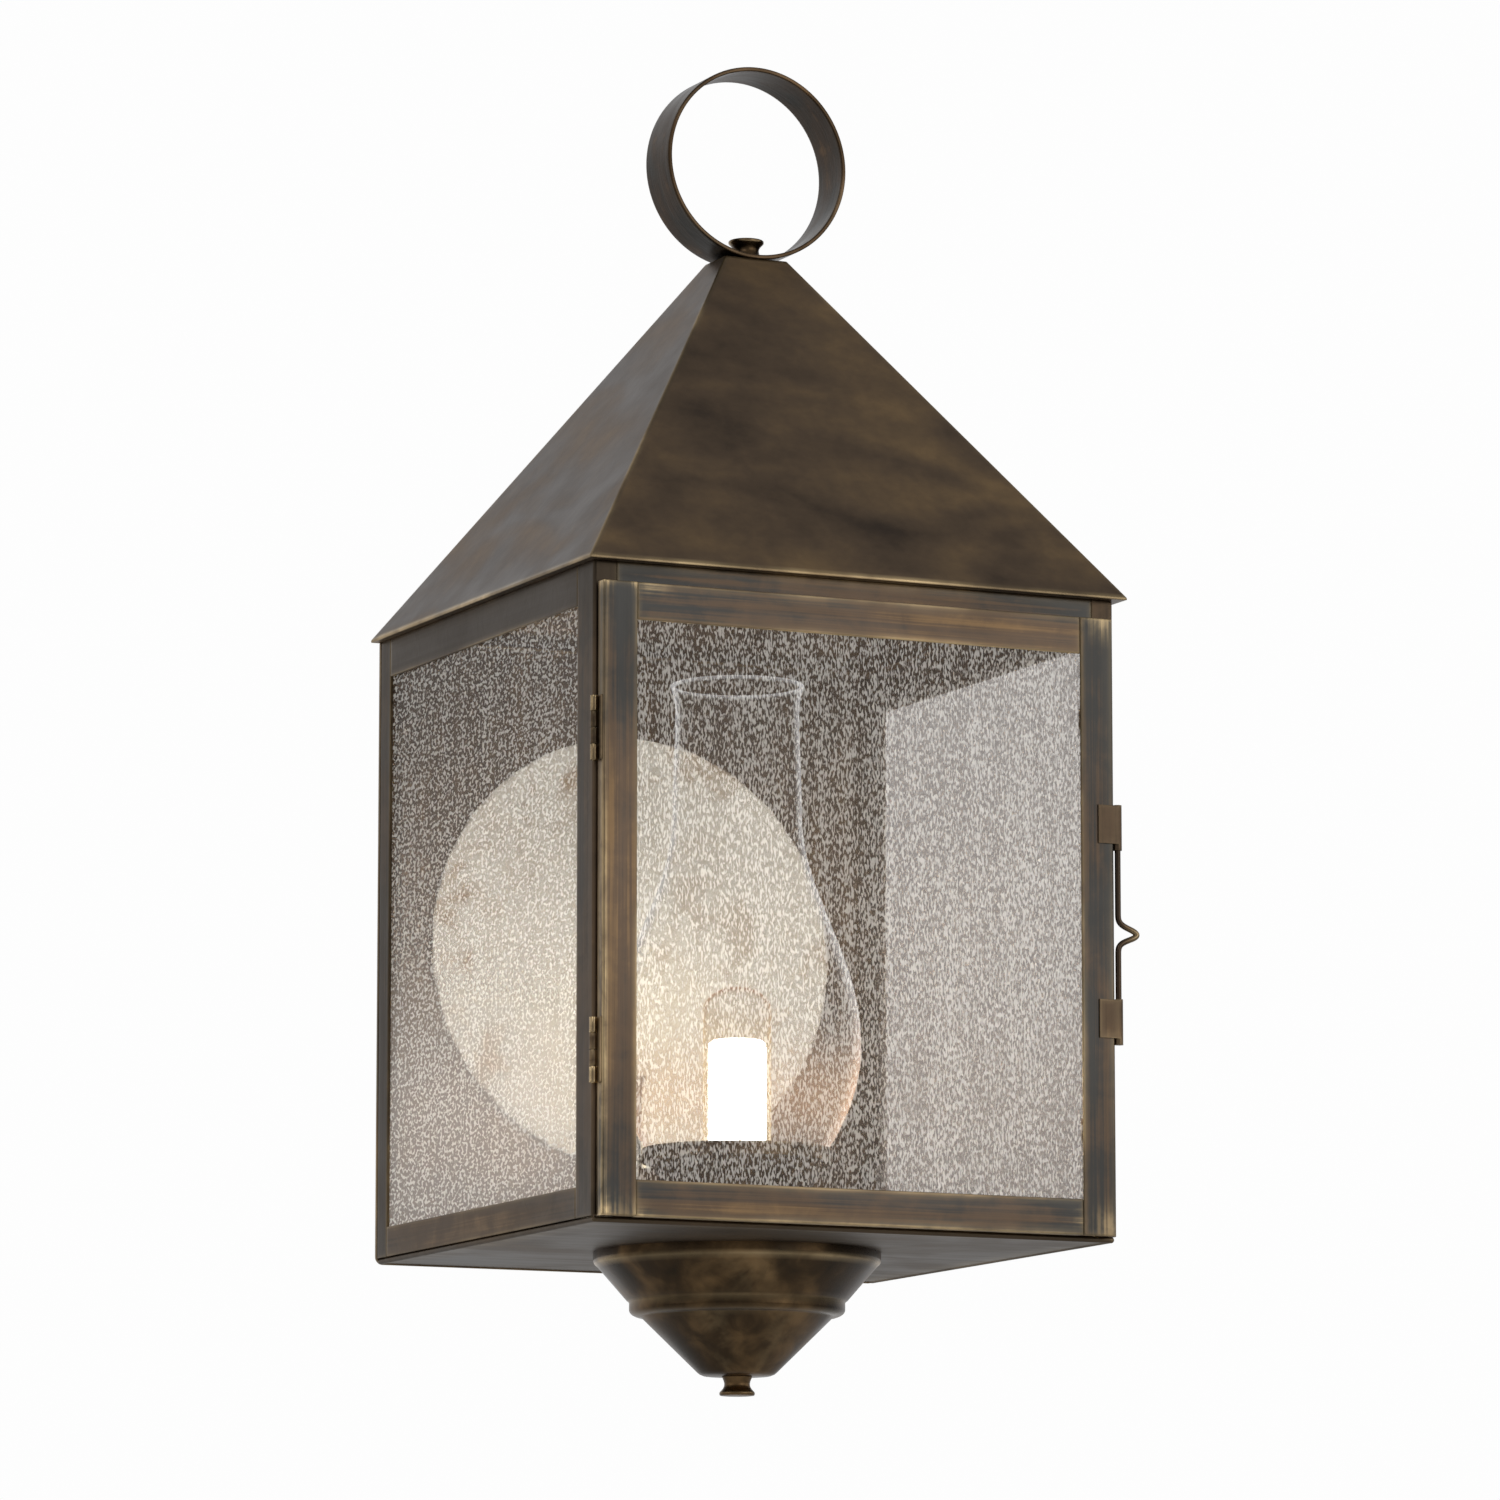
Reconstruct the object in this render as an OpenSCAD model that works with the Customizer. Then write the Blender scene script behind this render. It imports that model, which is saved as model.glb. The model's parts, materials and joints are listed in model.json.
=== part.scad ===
// Hinged-door wall lantern: a sheet-brass cage with three seeded glass panes,
// a hipped roof with a hanging ring, a spun cone underneath, and a lamp with
// a glass chimney inside. The origin is the centre of the wall mount on the
// wall plane, +Z is up and the door faces -Y. Lengths are in millimetres.

/* [Body] */
// Width of the cage across its corner posts
body_w = 210; // [196:1:226]
// Depth of the cage from the wall to the front of its posts
body_d = 203; // [194:1:220]
// Height of the cage from its bottom edge to the eave
body_h = 238; // [230:1:250]
// Height of the wall mount's centre above the bottom edge
mount_h = 124; // [118:1:130]
// Thickness of the folded angle stock
sheet_t = 1.2; // [1:0.1:1.6]
// Thickness of the back plate
back_t = 1.5; // [1.2:0.1:2.5]
// Outside bend radius of a corner post
post_bend_r = 1.2; // [1:0.1:1.6]
// Width of a front post on the side face
post_side_w = 14.8; // [13:0.1:17]
// Width of a front post on the front face
post_front_w = 9; // [8:0.1:11]
// Width of a rear post on the side face
rear_side_w = 10; // [9:0.1:12]
// Height of the rails under the eave
top_rail_h = 14.5; // [12:0.1:16]
// Height of the rails above the pan
bottom_rail_h = 11.2; // [10:0.1:13]
// Width of the ledge folded inward on every rail
rail_ledge = 8; // [6:0.1:10]

/* [Pan] */
// Diameter of the rolled bead round the pan
bead_d = 2.2; // [2:0.1:3]
// Thickness of the pan
pan_t = 1.2; // [1:0.1:1.8]
// How far the bead stands inside the posts' faces
bead_inset = 0.6; // [0.3:0.1:1.2]
// Corner radius at the foot of the back plate
back_corner_r = 3; // [2:0.1:5]

/* [Roof] */
// Overhang of the eave past the sides
eave_side = 3.5; // [2:0.1:6]
// Overhang of the eave past the front posts
eave_front = 4.8; // [3:0.1:6]
// Height of the eave's upright hem
hem_h = 1; // [0.8:0.1:1.6]
// Height of the roof above the eave
roof_h = 137.2; // [125:0.2:150]
// Width of the flat at the roof's top
roof_top_w = 25.6; // [22:0.2:30]
// Depth of the flat at the roof's top
roof_top_d = 18.8; // [16:0.2:22]
// Distance from the wall to the middle of the roof's top
roof_apex_y = 106.8; // [100:0.2:112]
// Thickness of the roof's slopes, measured level
roof_wall = 1.4; // [1.2:0.1:2]
// Thickness of the roof's top plate
roof_top_t = 1.2; // [1:0.1:2]

/* [Ring] */
// Outside diameter of the hanging ring
ring_d = 74; // [66:0.5:80]
// Width of the ring's strap
ring_w = 20.8; // [16:0.2:24]
// Thickness of the ring's strap
ring_t = 1.6; // [1.2:0.1:2.5]
// Depth of the flat where the ring stands on the roof
ring_flat = 0.2; // [0.1:0.05:0.5]
// Diameter of the bolt that holds the ring
ring_bolt_d = 4; // [3:0.5:5]
// Diameter of the top knob at its flare
top_knob_d = 13.4; // [12:0.2:16]
// Height of the top knob
top_knob_h = 6.8; // [6:0.2:9]

/* [Glass] */
// Thickness of a glass pane
pane_t = 3; // [2:0.1:3]
// Lap of a side pane behind its frame
pane_lap = 6; // [4:0.1:6.5]
// Thickness of the clips that hold a pane
clip_t = 0.6; // [0.5:0.1:0.8]
// Height of a pane clip
clip_h = 10; // [8:0.5:14]

/* [Door] */
// How much shorter the door is than the cage
door_gap_h = 9.8; // [9.4:0.2:16]
// How much narrower the door is than the cage
door_gap_w = 4.4; // [3.6:0.2:10]
// Height of the door's foot above the bottom edge
door_foot = 1.9; // [1.5:0.1:3]
// Distance from the cage's left face to the door's left edge
door_inset = 1.1; // [0.9:0.1:2]
// Distance from the posts' front faces back to the door's folded edge
door_gap = 1.1; // [1.1:0.1:1.6]
// Depth of the door's folded edge
door_depth = 4.9; // [4.6:0.1:6]
// Thickness of the door's angle stock
door_t = 1; // [0.8:0.1:1.2]
// Width of a door stile
stile_w = 13.4; // [12:0.1:15]
// Height of the door's top rail
door_top_h = 13.7; // [12:0.1:15]
// Height of the door's bottom rail
door_bottom_h = 13.1; // [12:0.1:15]
// How far the rails stand back from the stiles
rail_recess = 0.3; // [0.1:0.05:0.5]
// Lap of the door pane behind its frame
door_lap = 9; // [6:0.1:10]

/* [Hinges] */
// Length of a hinge
hinge_len = 23.4; // [20:0.2:28]
// Height of the lower hinge's foot above the bottom edge
hinge_low = 49.2; // [40:0.2:60]
// Height of the upper hinge's foot above the bottom edge
hinge_high = 165; // [150:0.2:180]
// Outside diameter of a hinge knuckle
knuckle_d = 2.8; // [2.6:0.1:3.2]
// Diameter of a hinge pin
pin_d = 1.5; // [1.2:0.1:1.8]
// Thickness of a hinge leaf
leaf_t = 0.8; // [0.6:0.05:0.8]
// Width of a hinge leaf
leaf_w = 7; // [5:0.1:8]

/* [Latch] */
// Diameter of the latch wire
latch_wire_d = 2.2; // [2:0.1:2.4]
// Reach of the latch's kink past the wire's own axis
kink_reach = 8; // [6:0.1:10]
// Half height of the latch's kink
kink_half = 5.6; // [4.5:0.1:7]
// Height of the kink's middle above the bottom edge
kink_h = 113.2; // [108:0.2:118]
// Foot of the upper latch tab above the bottom edge
tab_high = 146.4; // [140:0.2:152]
// Foot of the lower latch tab above the bottom edge
tab_low = 74.5; // [68:0.2:80]
// Height of a latch tab's plate
tab_h = 14.2; // [12:0.2:16]
// Width of a latch tab's plate
tab_w = 6.7; // [5:0.1:8]
// Thickness of a latch tab
tab_t = 0.6; // [0.5:0.05:0.8]
// Outside diameter of a latch tab's barrel
barrel_d = 3.2; // [3:0.1:4]
// How far a barrel hangs below its plate
barrel_drop = 2.3; // [1.5:0.1:3]

/* [Reflector] */
// Diameter of the reflector
reflector_d = 166.8; // [150:0.2:176]
// Height of the reflector's crown in front of the back plate
reflector_crown = 12.5; // [11:0.1:15]
// Thickness of the reflector
reflector_t = 0.8; // [0.6:0.05:1]
// Number of pleats round the reflector
pleats = 24; // [18:1:36]
// Height of a pleat at the reflector's edge
pleat_h = 1.2; // [0.6:0.1:1.6]
// Diameter of the reflector's unpleated middle
pleat_start_d = 96; // [80:1:110]
// Diameter of the standoff that carries the reflector
standoff_d = 8; // [6:0.1:10]

/* [Wall mount] */
// Distance between the two wall screws
mount_pitch = 88.9; // [80:0.1:96]
// Diameter of a wall screw's hole
mount_hole_d = 5.2; // [4.4:0.1:6]
// Diameter of the supply wires' hole
inlet_d = 12.7; // [11:0.1:14]
// Distance of the supply hole below the mount's centre
inlet_drop = 25; // [22:0.5:30]
// Diameter of an insulated lead
lead_d = 2.2; // [1.8:0.1:2.4]
// Distance between the two leads
lead_pitch = 2.8; // [2.6:0.1:3]

/* [Lamp] */
// Distance from the wall to the lamp's axis
lamp_y = 99; // [94:0.5:104]
// Outside diameter of the threaded nipple
nipple_d = 9.5; // [9:0.1:10]
// Bore of the threaded nipple
nipple_bore = 6.6; // [6.4:0.1:7]
// Width of the nuts across their flats
nut_af = 14; // [13:0.5:16]
// Height of a nut
nut_h = 3.5; // [3:0.1:4.5]
// Diameter of the lamp socket
socket_d = 35; // [33:0.5:37]
// Height of the lamp socket
socket_h = 28; // [26:0.5:32]
// Outside diameter of the bulb's screw base
bulb_base_d = 26.1; // [25.5:0.1:26.6]
// Diameter of the bulb's glass
bulb_d = 25.4; // [24:0.1:28]
// Height of the bulb's glass above its base
bulb_glass_h = 64; // [56:0.5:70]
// Height of the glowing sleeve in the bulb
glow_h = 44; // [36:0.5:48]

/* [Chimney] */
// Diameter of the chimney at its foot
chimney_foot_d = 63; // [60:0.5:66]
// Diameter of the chimney at its belly
chimney_belly_d = 92.6; // [84:0.2:98]
// Diameter of the chimney's neck
chimney_neck_d = 46.6; // [42:0.2:52]
// Diameter of the chimney's flared rim
chimney_rim_d = 50.6; // [47:0.2:56]
// Height of the chimney
chimney_h = 179; // [170:0.5:186]
// Height of the chimney's neck and shoulder, its upper piece
chimney_upper_h = 71; // [56:1:84]
// Height of the belly above the chimney's foot
belly_h = 42; // [38:0.5:46]
// Thickness of the chimney's glass
chimney_t = 1.8; // [1.4:0.1:2.4]
// Height of the cup's lip round the chimney's foot
cup_lip_h = 4; // [3:0.1:6]

/* [Cone] */
// Diameter of the cone's rim
cone_rim_d = 107.2; // [98:0.2:114]
// Height of the cone's upright rim
cone_rim_h = 4.6; // [3:0.1:6]
// Diameter of the cone at its step
cone_step_d = 80.4; // [74:0.2:86]
// Depth of the step below the pan
cone_step_z = 18.6; // [16:0.2:22]
// Height of the rolled step
cone_bead_h = 5.2; // [4:0.1:6]
// Diameter where the lower cone leaves the step
cone_low_d = 71; // [66:0.2:73]
// Diameter of the cone's flat bottom
cone_foot_d = 28; // [24:0.2:32]
// Depth of the cone's bottom below the pan
cone_foot_z = 45.8; // [42:0.2:50]
// Thickness of the cone's sheet
cone_t = 1; // [0.8:0.1:1.4]
// Diameter of the bottom knob at its flare
foot_knob_d = 13.2; // [12:0.2:16]
// Height of the bottom knob
foot_knob_h = 7.2; // [6.4:0.2:9]
// Diameter of the rod that holds the cone
cone_rod_d = 6; // [5:0.1:6.6]

/* [Hidden] */

$fn = 64;

brass = [0.33, 0.28, 0.22];
bright_brass = [0.62, 0.52, 0.34];
steel = [0.7, 0.7, 0.68];
clear_glass = [0.8, 0.85, 0.85, 0.4];

// Clearances between pieces
air = 0.3;
run = 0.05;
slip = 0.2;

// Heights above the bottom edge
pan_z = (bead_d - pan_t) / 2;
pan_top = pan_z + pan_t;
frame_z = bead_d;
bottom_rail_top = frame_z + bottom_rail_h;
top_rail_z = body_h - top_rail_h;
roof_z = body_h + hem_h;
roof_top = body_h + roof_h;
nut_top = pan_top + nut_h;

// Places on the plan
left_x = -body_w / 2;
front_y = -body_d;
lap_in = sheet_t;
side_front_y = front_y + post_side_w;
side_rear_y = -back_t - rear_side_w;
frame_x = body_w / 2 - post_front_w;
pane_x = left_x + sheet_t;

// Door
door_h = body_h - door_gap_h;
door_w = body_w - door_gap_w;
door_left = left_x + door_inset;
door_right = door_left + door_w;
door_back = front_y - door_gap;
door_face = door_back - door_depth;
rail_face = door_face + rail_recess;
door_top = door_foot + door_h;
glass_left = door_left + stile_w;
glass_right = door_right - stile_w;
glass_low = door_foot + door_bottom_h;
glass_high = door_top - door_top_h;
door_pane_y = rail_face + door_t;

// Hinges: the pin stands clear of the posts and of the door's folded edge
pin_x = door_left - knuckle_d / 2 - air;
pin_y = front_y - knuckle_d / 2 - air;
knuckles = 4;
knuckle_len = (hinge_len - (knuckles - 1) * air) / knuckles;

// Latch: the barrel's front lies level with the tabs' plates
latch_x = door_right + air + barrel_d / 2;
latch_y = door_face - tab_t + barrel_d / 2;

// Ring
ring_r = ring_d / 2;
ring_z = roof_top + ring_r - ring_flat;
knob_foot_r = top_knob_d * 0.39;
ring_seat = ring_z - sqrt(pow(ring_r - ring_t, 2) - pow(knob_foot_r, 2));

// Lamp
cup_z = nut_top;
cup_t = 1;
socket_z = cup_z + cup_t;
socket_top = socket_z + socket_h;
chimney_z = socket_top + 1;
shell_t = 0.4;
shell_r = bulb_base_d / 2 + run + shell_t;
socket_floor = socket_z + 6;
base_z = socket_floor + 2.3;
bulb_z = socket_top + 2;
hickey_top = pan_z - nut_h - 1;
hickey_h = 18;
boss_h = 4;
boss_r = 7.5;

// Leads
lead_x = lead_pitch / 2;
lead_back_y = -(back_t + lead_d / 2 + 1.4);
pan_hole_y = -(lamp_y - 43);
pan_hole_d = 9;

module from_base() {
    translate([0, 0, -mount_h]) children();
}

module on_lamp_axis() {
    translate([0, -lamp_y, -mount_h]) children();
}

module block(low, high) {
    translate(low) cube(high - low);
}

module rod(start, end, r) {
    step = end - start;
    length = norm(step);
    translate(start)
        rotate([0, acos(step[2] / length), atan2(step[1], step[0])])
            cylinder(h = length, r = r);
}

// A route whose corners are rounded over a reach at each side
function rounded(points, reach, steps) = [
    points[0],
    for (i = [1 : len(points) - 2])
        let (back = points[i - 1] - points[i], ahead = points[i + 1] - points[i],
             a = back / norm(back) * min(reach, 0.45 * norm(back)),
             b = ahead / norm(ahead) * min(reach, 0.45 * norm(ahead)))
        for (k = [0 : steps]) let (u = k / steps)
            points[i] + a * pow(1 - u, 2) + b * pow(u, 2),
    points[len(points) - 1]
];

// A round wire along a route that lies in the plane with this normal
module bent_wire(route, normal, r, sides) {
    count = len(route);
    ways = [for (i = [0 : count - 2]) (route[i + 1] - route[i]) / norm(route[i + 1] - route[i])];
    across = [for (i = [0 : count - 1])
        let (m = ways[max(i - 1, 0)] + ways[min(i, count - 2)])
        cross(normal, m) * 2 / (m * m)];
    points = [for (i = [0 : count - 1]) for (k = [0 : sides - 1])
        let (turn = 360 * k / sides)
        route[i] + r * cos(turn) * normal + r * sin(turn) * across[i]];
    last = (count - 1) * sides;
    faces = concat(
        [[for (k = [sides - 1 : -1 : 0]) k]],
        [for (i = [0 : count - 2]) for (k = [0 : sides - 1])
            let (a = i * sides + k, b = i * sides + (k + 1) % sides) [a, b, b + sides]],
        [for (i = [0 : count - 2]) for (k = [0 : sides - 1])
            let (a = i * sides + k, b = i * sides + (k + 1) % sides) [a, b + sides, a + sides]],
        [[for (k = [0 : sides - 1]) last + k]]
    );
    polyhedron(points, faces);
}

// An L-shaped fold whose outer corner is at the origin
module angle_outline(along_x, along_y, t, r) {
    difference() {
        union() {
            square([along_x, t]);
            square([t, along_y]);
        }
        difference() {
            square([r, r]);
            translate([r, r]) circle(r = r);
        }
    }
}

module prism_xz(points, y0, y1) {
    translate([0, y1, 0]) rotate([90, 0, 0]) linear_extrude(y1 - y0) polygon(points);
}

module prism_yz(points, x0, x1) {
    translate([x0, 0, 0]) rotate([90, 0, 90]) linear_extrude(x1 - x0) polygon(points);
}

module turned(points) {
    rotate_extrude() polygon(points);
}

// Smooth blend between two values, level at both ends
function blend(a, b, u) = a + (b - a) * (1 - cos(180 * u)) / 2;

module back_plate() {
    low = -mount_h;
    color(brass) difference() {
        translate([0, 0, 0]) rotate([90, 0, 0]) linear_extrude(back_t) union() {
            translate([left_x, low + back_corner_r]) square([body_w, body_h - back_corner_r]);
            translate([left_x + back_corner_r, low])
                square([body_w - 2 * back_corner_r, back_corner_r]);
            for (side = [-1, 1])
                translate([side * (body_w / 2 - back_corner_r), low + back_corner_r])
                    circle(r = back_corner_r);
        }
        for (side = [-1, 1])
            translate([side * mount_pitch / 2, 1, 0]) rotate([90, 0, 0])
                cylinder(h = back_t + 2, d = mount_hole_d);
        translate([0, 1, -inlet_drop]) rotate([90, 0, 0])
            cylinder(h = back_t + 2, d = inlet_d);
        translate([ground_x, 1, ground_z - mount_h]) rotate([90, 0, 0])
            cylinder(h = back_t + 2, d = ground_d + 2 * run);
    }
}

module post_front_left() {
    color(brass) from_base() translate([left_x, front_y, frame_z])
        linear_extrude(body_h - frame_z)
            angle_outline(post_front_w, post_side_w, sheet_t, post_bend_r);
}

module post_front_right() {
    mirror([1, 0, 0]) post_front_left();
}

module post_rear_left() {
    color(brass) from_base() translate([left_x, -back_t, frame_z]) mirror([0, 1, 0])
        linear_extrude(body_h - frame_z)
            angle_outline(post_front_w, rear_side_w, sheet_t, post_bend_r);
}

module post_rear_right() {
    mirror([1, 0, 0]) post_rear_left();
}

module header_rail() {
    color(brass) from_base() {
        block([-frame_x, front_y, top_rail_z], [frame_x, front_y + sheet_t, body_h]);
        block([-frame_x, front_y, body_h - sheet_t], [frame_x, front_y + rail_ledge, body_h]);
    }
}

module sill_rail() {
    color(brass) from_base() {
        block([-frame_x, front_y, frame_z], [frame_x, front_y + sheet_t, bottom_rail_top]);
        block([-frame_x, front_y, frame_z], [frame_x, front_y + rail_ledge, frame_z + sheet_t]);
    }
}

module top_rail_left() {
    color(brass) from_base() {
        block([left_x, side_front_y, top_rail_z], [left_x + sheet_t, side_rear_y, body_h]);
        block([left_x, side_front_y, body_h - sheet_t],
              [left_x + rail_ledge, side_rear_y, body_h]);
    }
}

module top_rail_right() {
    mirror([1, 0, 0]) top_rail_left();
}

module bottom_rail_left() {
    color(brass) from_base() {
        block([left_x, side_front_y, frame_z],
              [left_x + sheet_t, side_rear_y, bottom_rail_top]);
        block([left_x, side_front_y, frame_z],
              [left_x + rail_ledge, side_rear_y, frame_z + sheet_t]);
    }
}

module bottom_rail_right() {
    mirror([1, 0, 0]) bottom_rail_left();
}

module floor_pan() {
    bead_x = body_w / 2 - bead_inset - bead_d / 2;
    bead_y = front_y + bead_inset + bead_d / 2;
    color(brass) from_base() difference() {
        union() {
            block([-bead_x, bead_y, pan_z], [bead_x, -back_t, pan_top]);
            rod([-bead_x, bead_y, bead_d / 2], [bead_x, bead_y, bead_d / 2], bead_d / 2);
            for (side = [-1, 1]) {
                rod([side * bead_x, bead_y, bead_d / 2],
                    [side * bead_x, -back_t, bead_d / 2], bead_d / 2);
                translate([side * bead_x, bead_y, bead_d / 2]) sphere(d = 1.02 * bead_d);
            }
        }
        translate([0, -lamp_y, -1]) cylinder(h = bead_d + 2, d = nipple_d + 2 * slip);
        translate([0, pan_hole_y, -1]) cylinder(h = bead_d + 2, d = pan_hole_d);
    }
}

// A hipped solid: half widths and front and rear lines at its foot and its top
module hipped(z0, z1, half0, half1, front0, front1, rear0, rear1) {
    intersection() {
        prism_xz([[-half0, z0], [half0, z0], [half1, z1], [-half1, z1]], front0 - 1, rear0 + 1);
        prism_yz([[front0, z0], [rear0, z0], [rear1, z1], [front1, z1]], -half0 - 1, half0 + 1);
    }
}

module roof() {
    half = body_w / 2 + eave_side;
    front = front_y - eave_front;
    top_half = roof_top_w / 2;
    top_front = -roof_apex_y - roof_top_d / 2;
    top_rear = -roof_apex_y + roof_top_d / 2;
    cut = 0.5;
    color(brass) from_base() difference() {
        union() {
            difference() {
                hipped(roof_z, roof_top, half, top_half, front, top_front, 0, top_rear);
                translate([0, 0, -cut])
                    hipped(roof_z, roof_top - roof_top_t, half - roof_wall, top_half - roof_wall,
                           front + roof_wall, top_front + roof_wall, -roof_wall,
                           top_rear - roof_wall);
            }
            difference() {
                block([-half, front, body_h], [half, 0, roof_z]);
                block([left_x + rail_ledge, front_y + rail_ledge, body_h - 1],
                      [-left_x - rail_ledge, -back_t - rail_ledge, roof_z + 1]);
            }
        }
        translate([0, -roof_apex_y, roof_top - 5]) cylinder(h = 10, d = ring_bolt_d + 2 * slip);
    }
}

module ring() {
    color(brass) from_base() difference() {
        translate([0, -roof_apex_y + ring_w / 2, ring_z]) rotate([90, 0, 0]) difference() {
            cylinder(h = ring_w, r = ring_r, $fn = 128);
            translate([0, 0, -1]) cylinder(h = ring_w + 2, r = ring_r - ring_t, $fn = 128);
        }
        block([-ring_r, -roof_apex_y - ring_w, roof_top - 5],
              [ring_r, -roof_apex_y + ring_w, roof_top]);
        translate([0, -roof_apex_y, roof_top - 5]) cylinder(h = 10, d = ring_bolt_d + 2 * slip);
    }
}

// A spool-shaped knob standing on its foot, with a blind bore for its bolt
module knob(foot_r, neck_r, flare_r, height, bore_r, bore_h) {
    flare_z = height * 0.78;
    steps = 12;
    outline = concat(
        [[0, 0], [foot_r, 0]],
        [for (i = [0 : steps])
            let (u = i / steps, bow = pow(2 * u - 0.7, 2) / 1.69)
            [neck_r + (flare_r - neck_r) * min(1, bow), height * 0.08 + u * (flare_z - height * 0.08)]],
        [for (i = [0 : steps])
            let (turn = 90 * i / steps)
            [flare_r * cos(turn), flare_z + (height - flare_z) * sin(turn)]]
    );
    difference() {
        turned(outline);
        translate([0, 0, -1]) cylinder(h = bore_h + 1, r = bore_r);
    }
}

module top_knob() {
    color(brass) translate([0, -roof_apex_y, ring_seat - mount_h])
        knob(knob_foot_r, top_knob_d * 0.36, top_knob_d / 2, top_knob_h,
             ring_bolt_d / 2 + run, top_knob_h - 2.5);
}

module ring_bolt() {
    head_h = 2.6;
    under = roof_top - roof_top_t - 0.5;
    color(bright_brass) translate([0, -roof_apex_y, under - head_h - mount_h]) {
        cylinder(h = head_h, d = ring_bolt_d * 2, $fn = 6);
        cylinder(h = ring_seat + top_knob_h - 3 - under + head_h, d = ring_bolt_d);
    }
}

module pane_left() {
    color(clear_glass) from_base()
        block([pane_x, side_front_y - pane_lap, bottom_rail_top - pane_lap],
              [pane_x + pane_t, side_rear_y + pane_lap, top_rail_z + pane_lap]);
}

module pane_right() {
    mirror([1, 0, 0]) pane_left();
}

// A folded clip: a short wall beside the pane's edge and a lip over its inside
module clip(depth, reach) {
    cube([depth, clip_t, clip_h]);
    translate([depth - clip_t, -reach, 0]) cube([clip_t, reach + clip_t, clip_h]);
}

module side_pane_clips() {
    depth = pane_t + clip_t;
    reach = pane_lap - 1;
    color(brass) from_base() for (side = [0, 1]) mirror([side, 0, 0])
        for (height = [bottom_rail_top + 20, top_rail_z - 20 - clip_h]) {
            translate([pane_x, side_rear_y + pane_lap + slip, height]) clip(depth, reach);
            translate([pane_x, side_front_y - pane_lap - slip, height])
                mirror([0, 1, 0]) clip(depth, reach);
        }
}

// Height of the reflector in front of the back plate at radius r, pleat edge k
reflector_r = reflector_d / 2;
pleat_start_r = pleat_start_d / 2;
rim_h = slip + reflector_t + pleat_h / 2;
function dish(r) = blend(reflector_crown, rim_h, pow(r / reflector_r, 1.15));
function pleat(r, k) = (k % 2 == 0 ? 0.5 : -0.5) * pleat_h
    * max(0, (r - pleat_start_r) / (reflector_r - pleat_start_r));

module reflector() {
    edges = 2 * pleats;
    flat_r = standoff_d;
    radii = [flat_r, 24, 36, pleat_start_r, (pleat_start_r + reflector_r) / 2, reflector_r];
    rings = len(radii);
    top_h = dish(0);
    front = [for (r = radii) for (k = [0 : edges - 1])
        let (turn = 360 * k / edges, h = r == flat_r ? top_h : dish(r) + pleat(r, k))
        [r * cos(turn), -back_t - h, r * sin(turn)]];
    rear = [for (p = front) p + [0, reflector_t, 0]];
    points = concat(front, rear, [[0, -back_t - top_h, 0], [0, -back_t - top_h + reflector_t, 0]]);
    shift = rings * edges;
    hub = 2 * shift;
    quads = [for (i = [0 : rings - 2]) for (k = [0 : edges - 1])
        let (a = i * edges + k, b = i * edges + (k + 1) % edges) [a, b, b + edges, a + edges]];
    faces = concat(
        [for (q = quads) [q[0], q[1], q[2]]],
        [for (q = quads) [q[0], q[2], q[3]]],
        [for (q = quads) [q[2] + shift, q[1] + shift, q[0] + shift]],
        [for (q = quads) [q[3] + shift, q[2] + shift, q[0] + shift]],
        [for (k = [0 : edges - 1]) [(k + 1) % edges, k, hub]],
        [for (k = [0 : edges - 1]) [k + shift, (k + 1) % edges + shift, hub + 1]],
        [for (k = [0 : edges - 1])
            let (a = (rings - 1) * edges + k, b = (rings - 1) * edges + (k + 1) % edges)
            [a, b, b + shift]],
        [for (k = [0 : edges - 1])
            let (a = (rings - 1) * edges + k, b = (rings - 1) * edges + (k + 1) % edges)
            [a, b + shift, a + shift]]
    );
    color([0.85, 0.82, 0.72]) difference() {
        polyhedron(points, faces);
        rotate([90, 0, 0]) cylinder(h = 40, d = screw_d + 2 * slip);
        translate([0, lead_back_y, -reflector_r - 5])
            cylinder(h = 40, r = lead_x + lead_d / 2 + 0.8);
    }
}

screw_d = 3;
screw_head_d = 6.5;
screw_head_h = 2;

module reflector_standoff() {
    color(bright_brass) rotate([90, 0, 0]) translate([0, 0, back_t]) difference() {
        cylinder(h = reflector_crown - reflector_t, d = standoff_d);
        translate([0, 0, reflector_crown - 7]) cylinder(h = 10, d = screw_d + 2 * run);
    }
}

module reflector_screw() {
    seat = back_t + reflector_crown;
    color(bright_brass) rotate([90, 0, 0]) translate([0, 0, seat]) {
        difference() {
            turned([[0, 0], [screw_head_d / 2, 0], [screw_head_d / 2, screw_head_h * 0.4],
                    [screw_head_d * 0.3, screw_head_h], [0, screw_head_h]]);
            translate([-screw_head_d, -0.4, screw_head_h * 0.5])
                cube([2 * screw_head_d, 0.8, screw_head_h]);
        }
        translate([0, 0, -5]) cylinder(h = 5, d = screw_d);
    }
}

bushing_flange_t = 1.3;

module wire_bushing() {
    bore_r = lead_x + lead_d / 2 + 0.4;
    color([0.1, 0.1, 0.1]) translate([0, 0, -inlet_drop]) rotate([90, 0, 0]) difference() {
        union() {
            cylinder(h = back_t, d = inlet_d - 2 * run);
            translate([0, 0, back_t]) cylinder(h = bushing_flange_t, d = inlet_d + 3);
        }
        translate([0, 0, -1]) cylinder(h = back_t + bushing_flange_t + 2, r = bore_r);
    }
}

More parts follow.
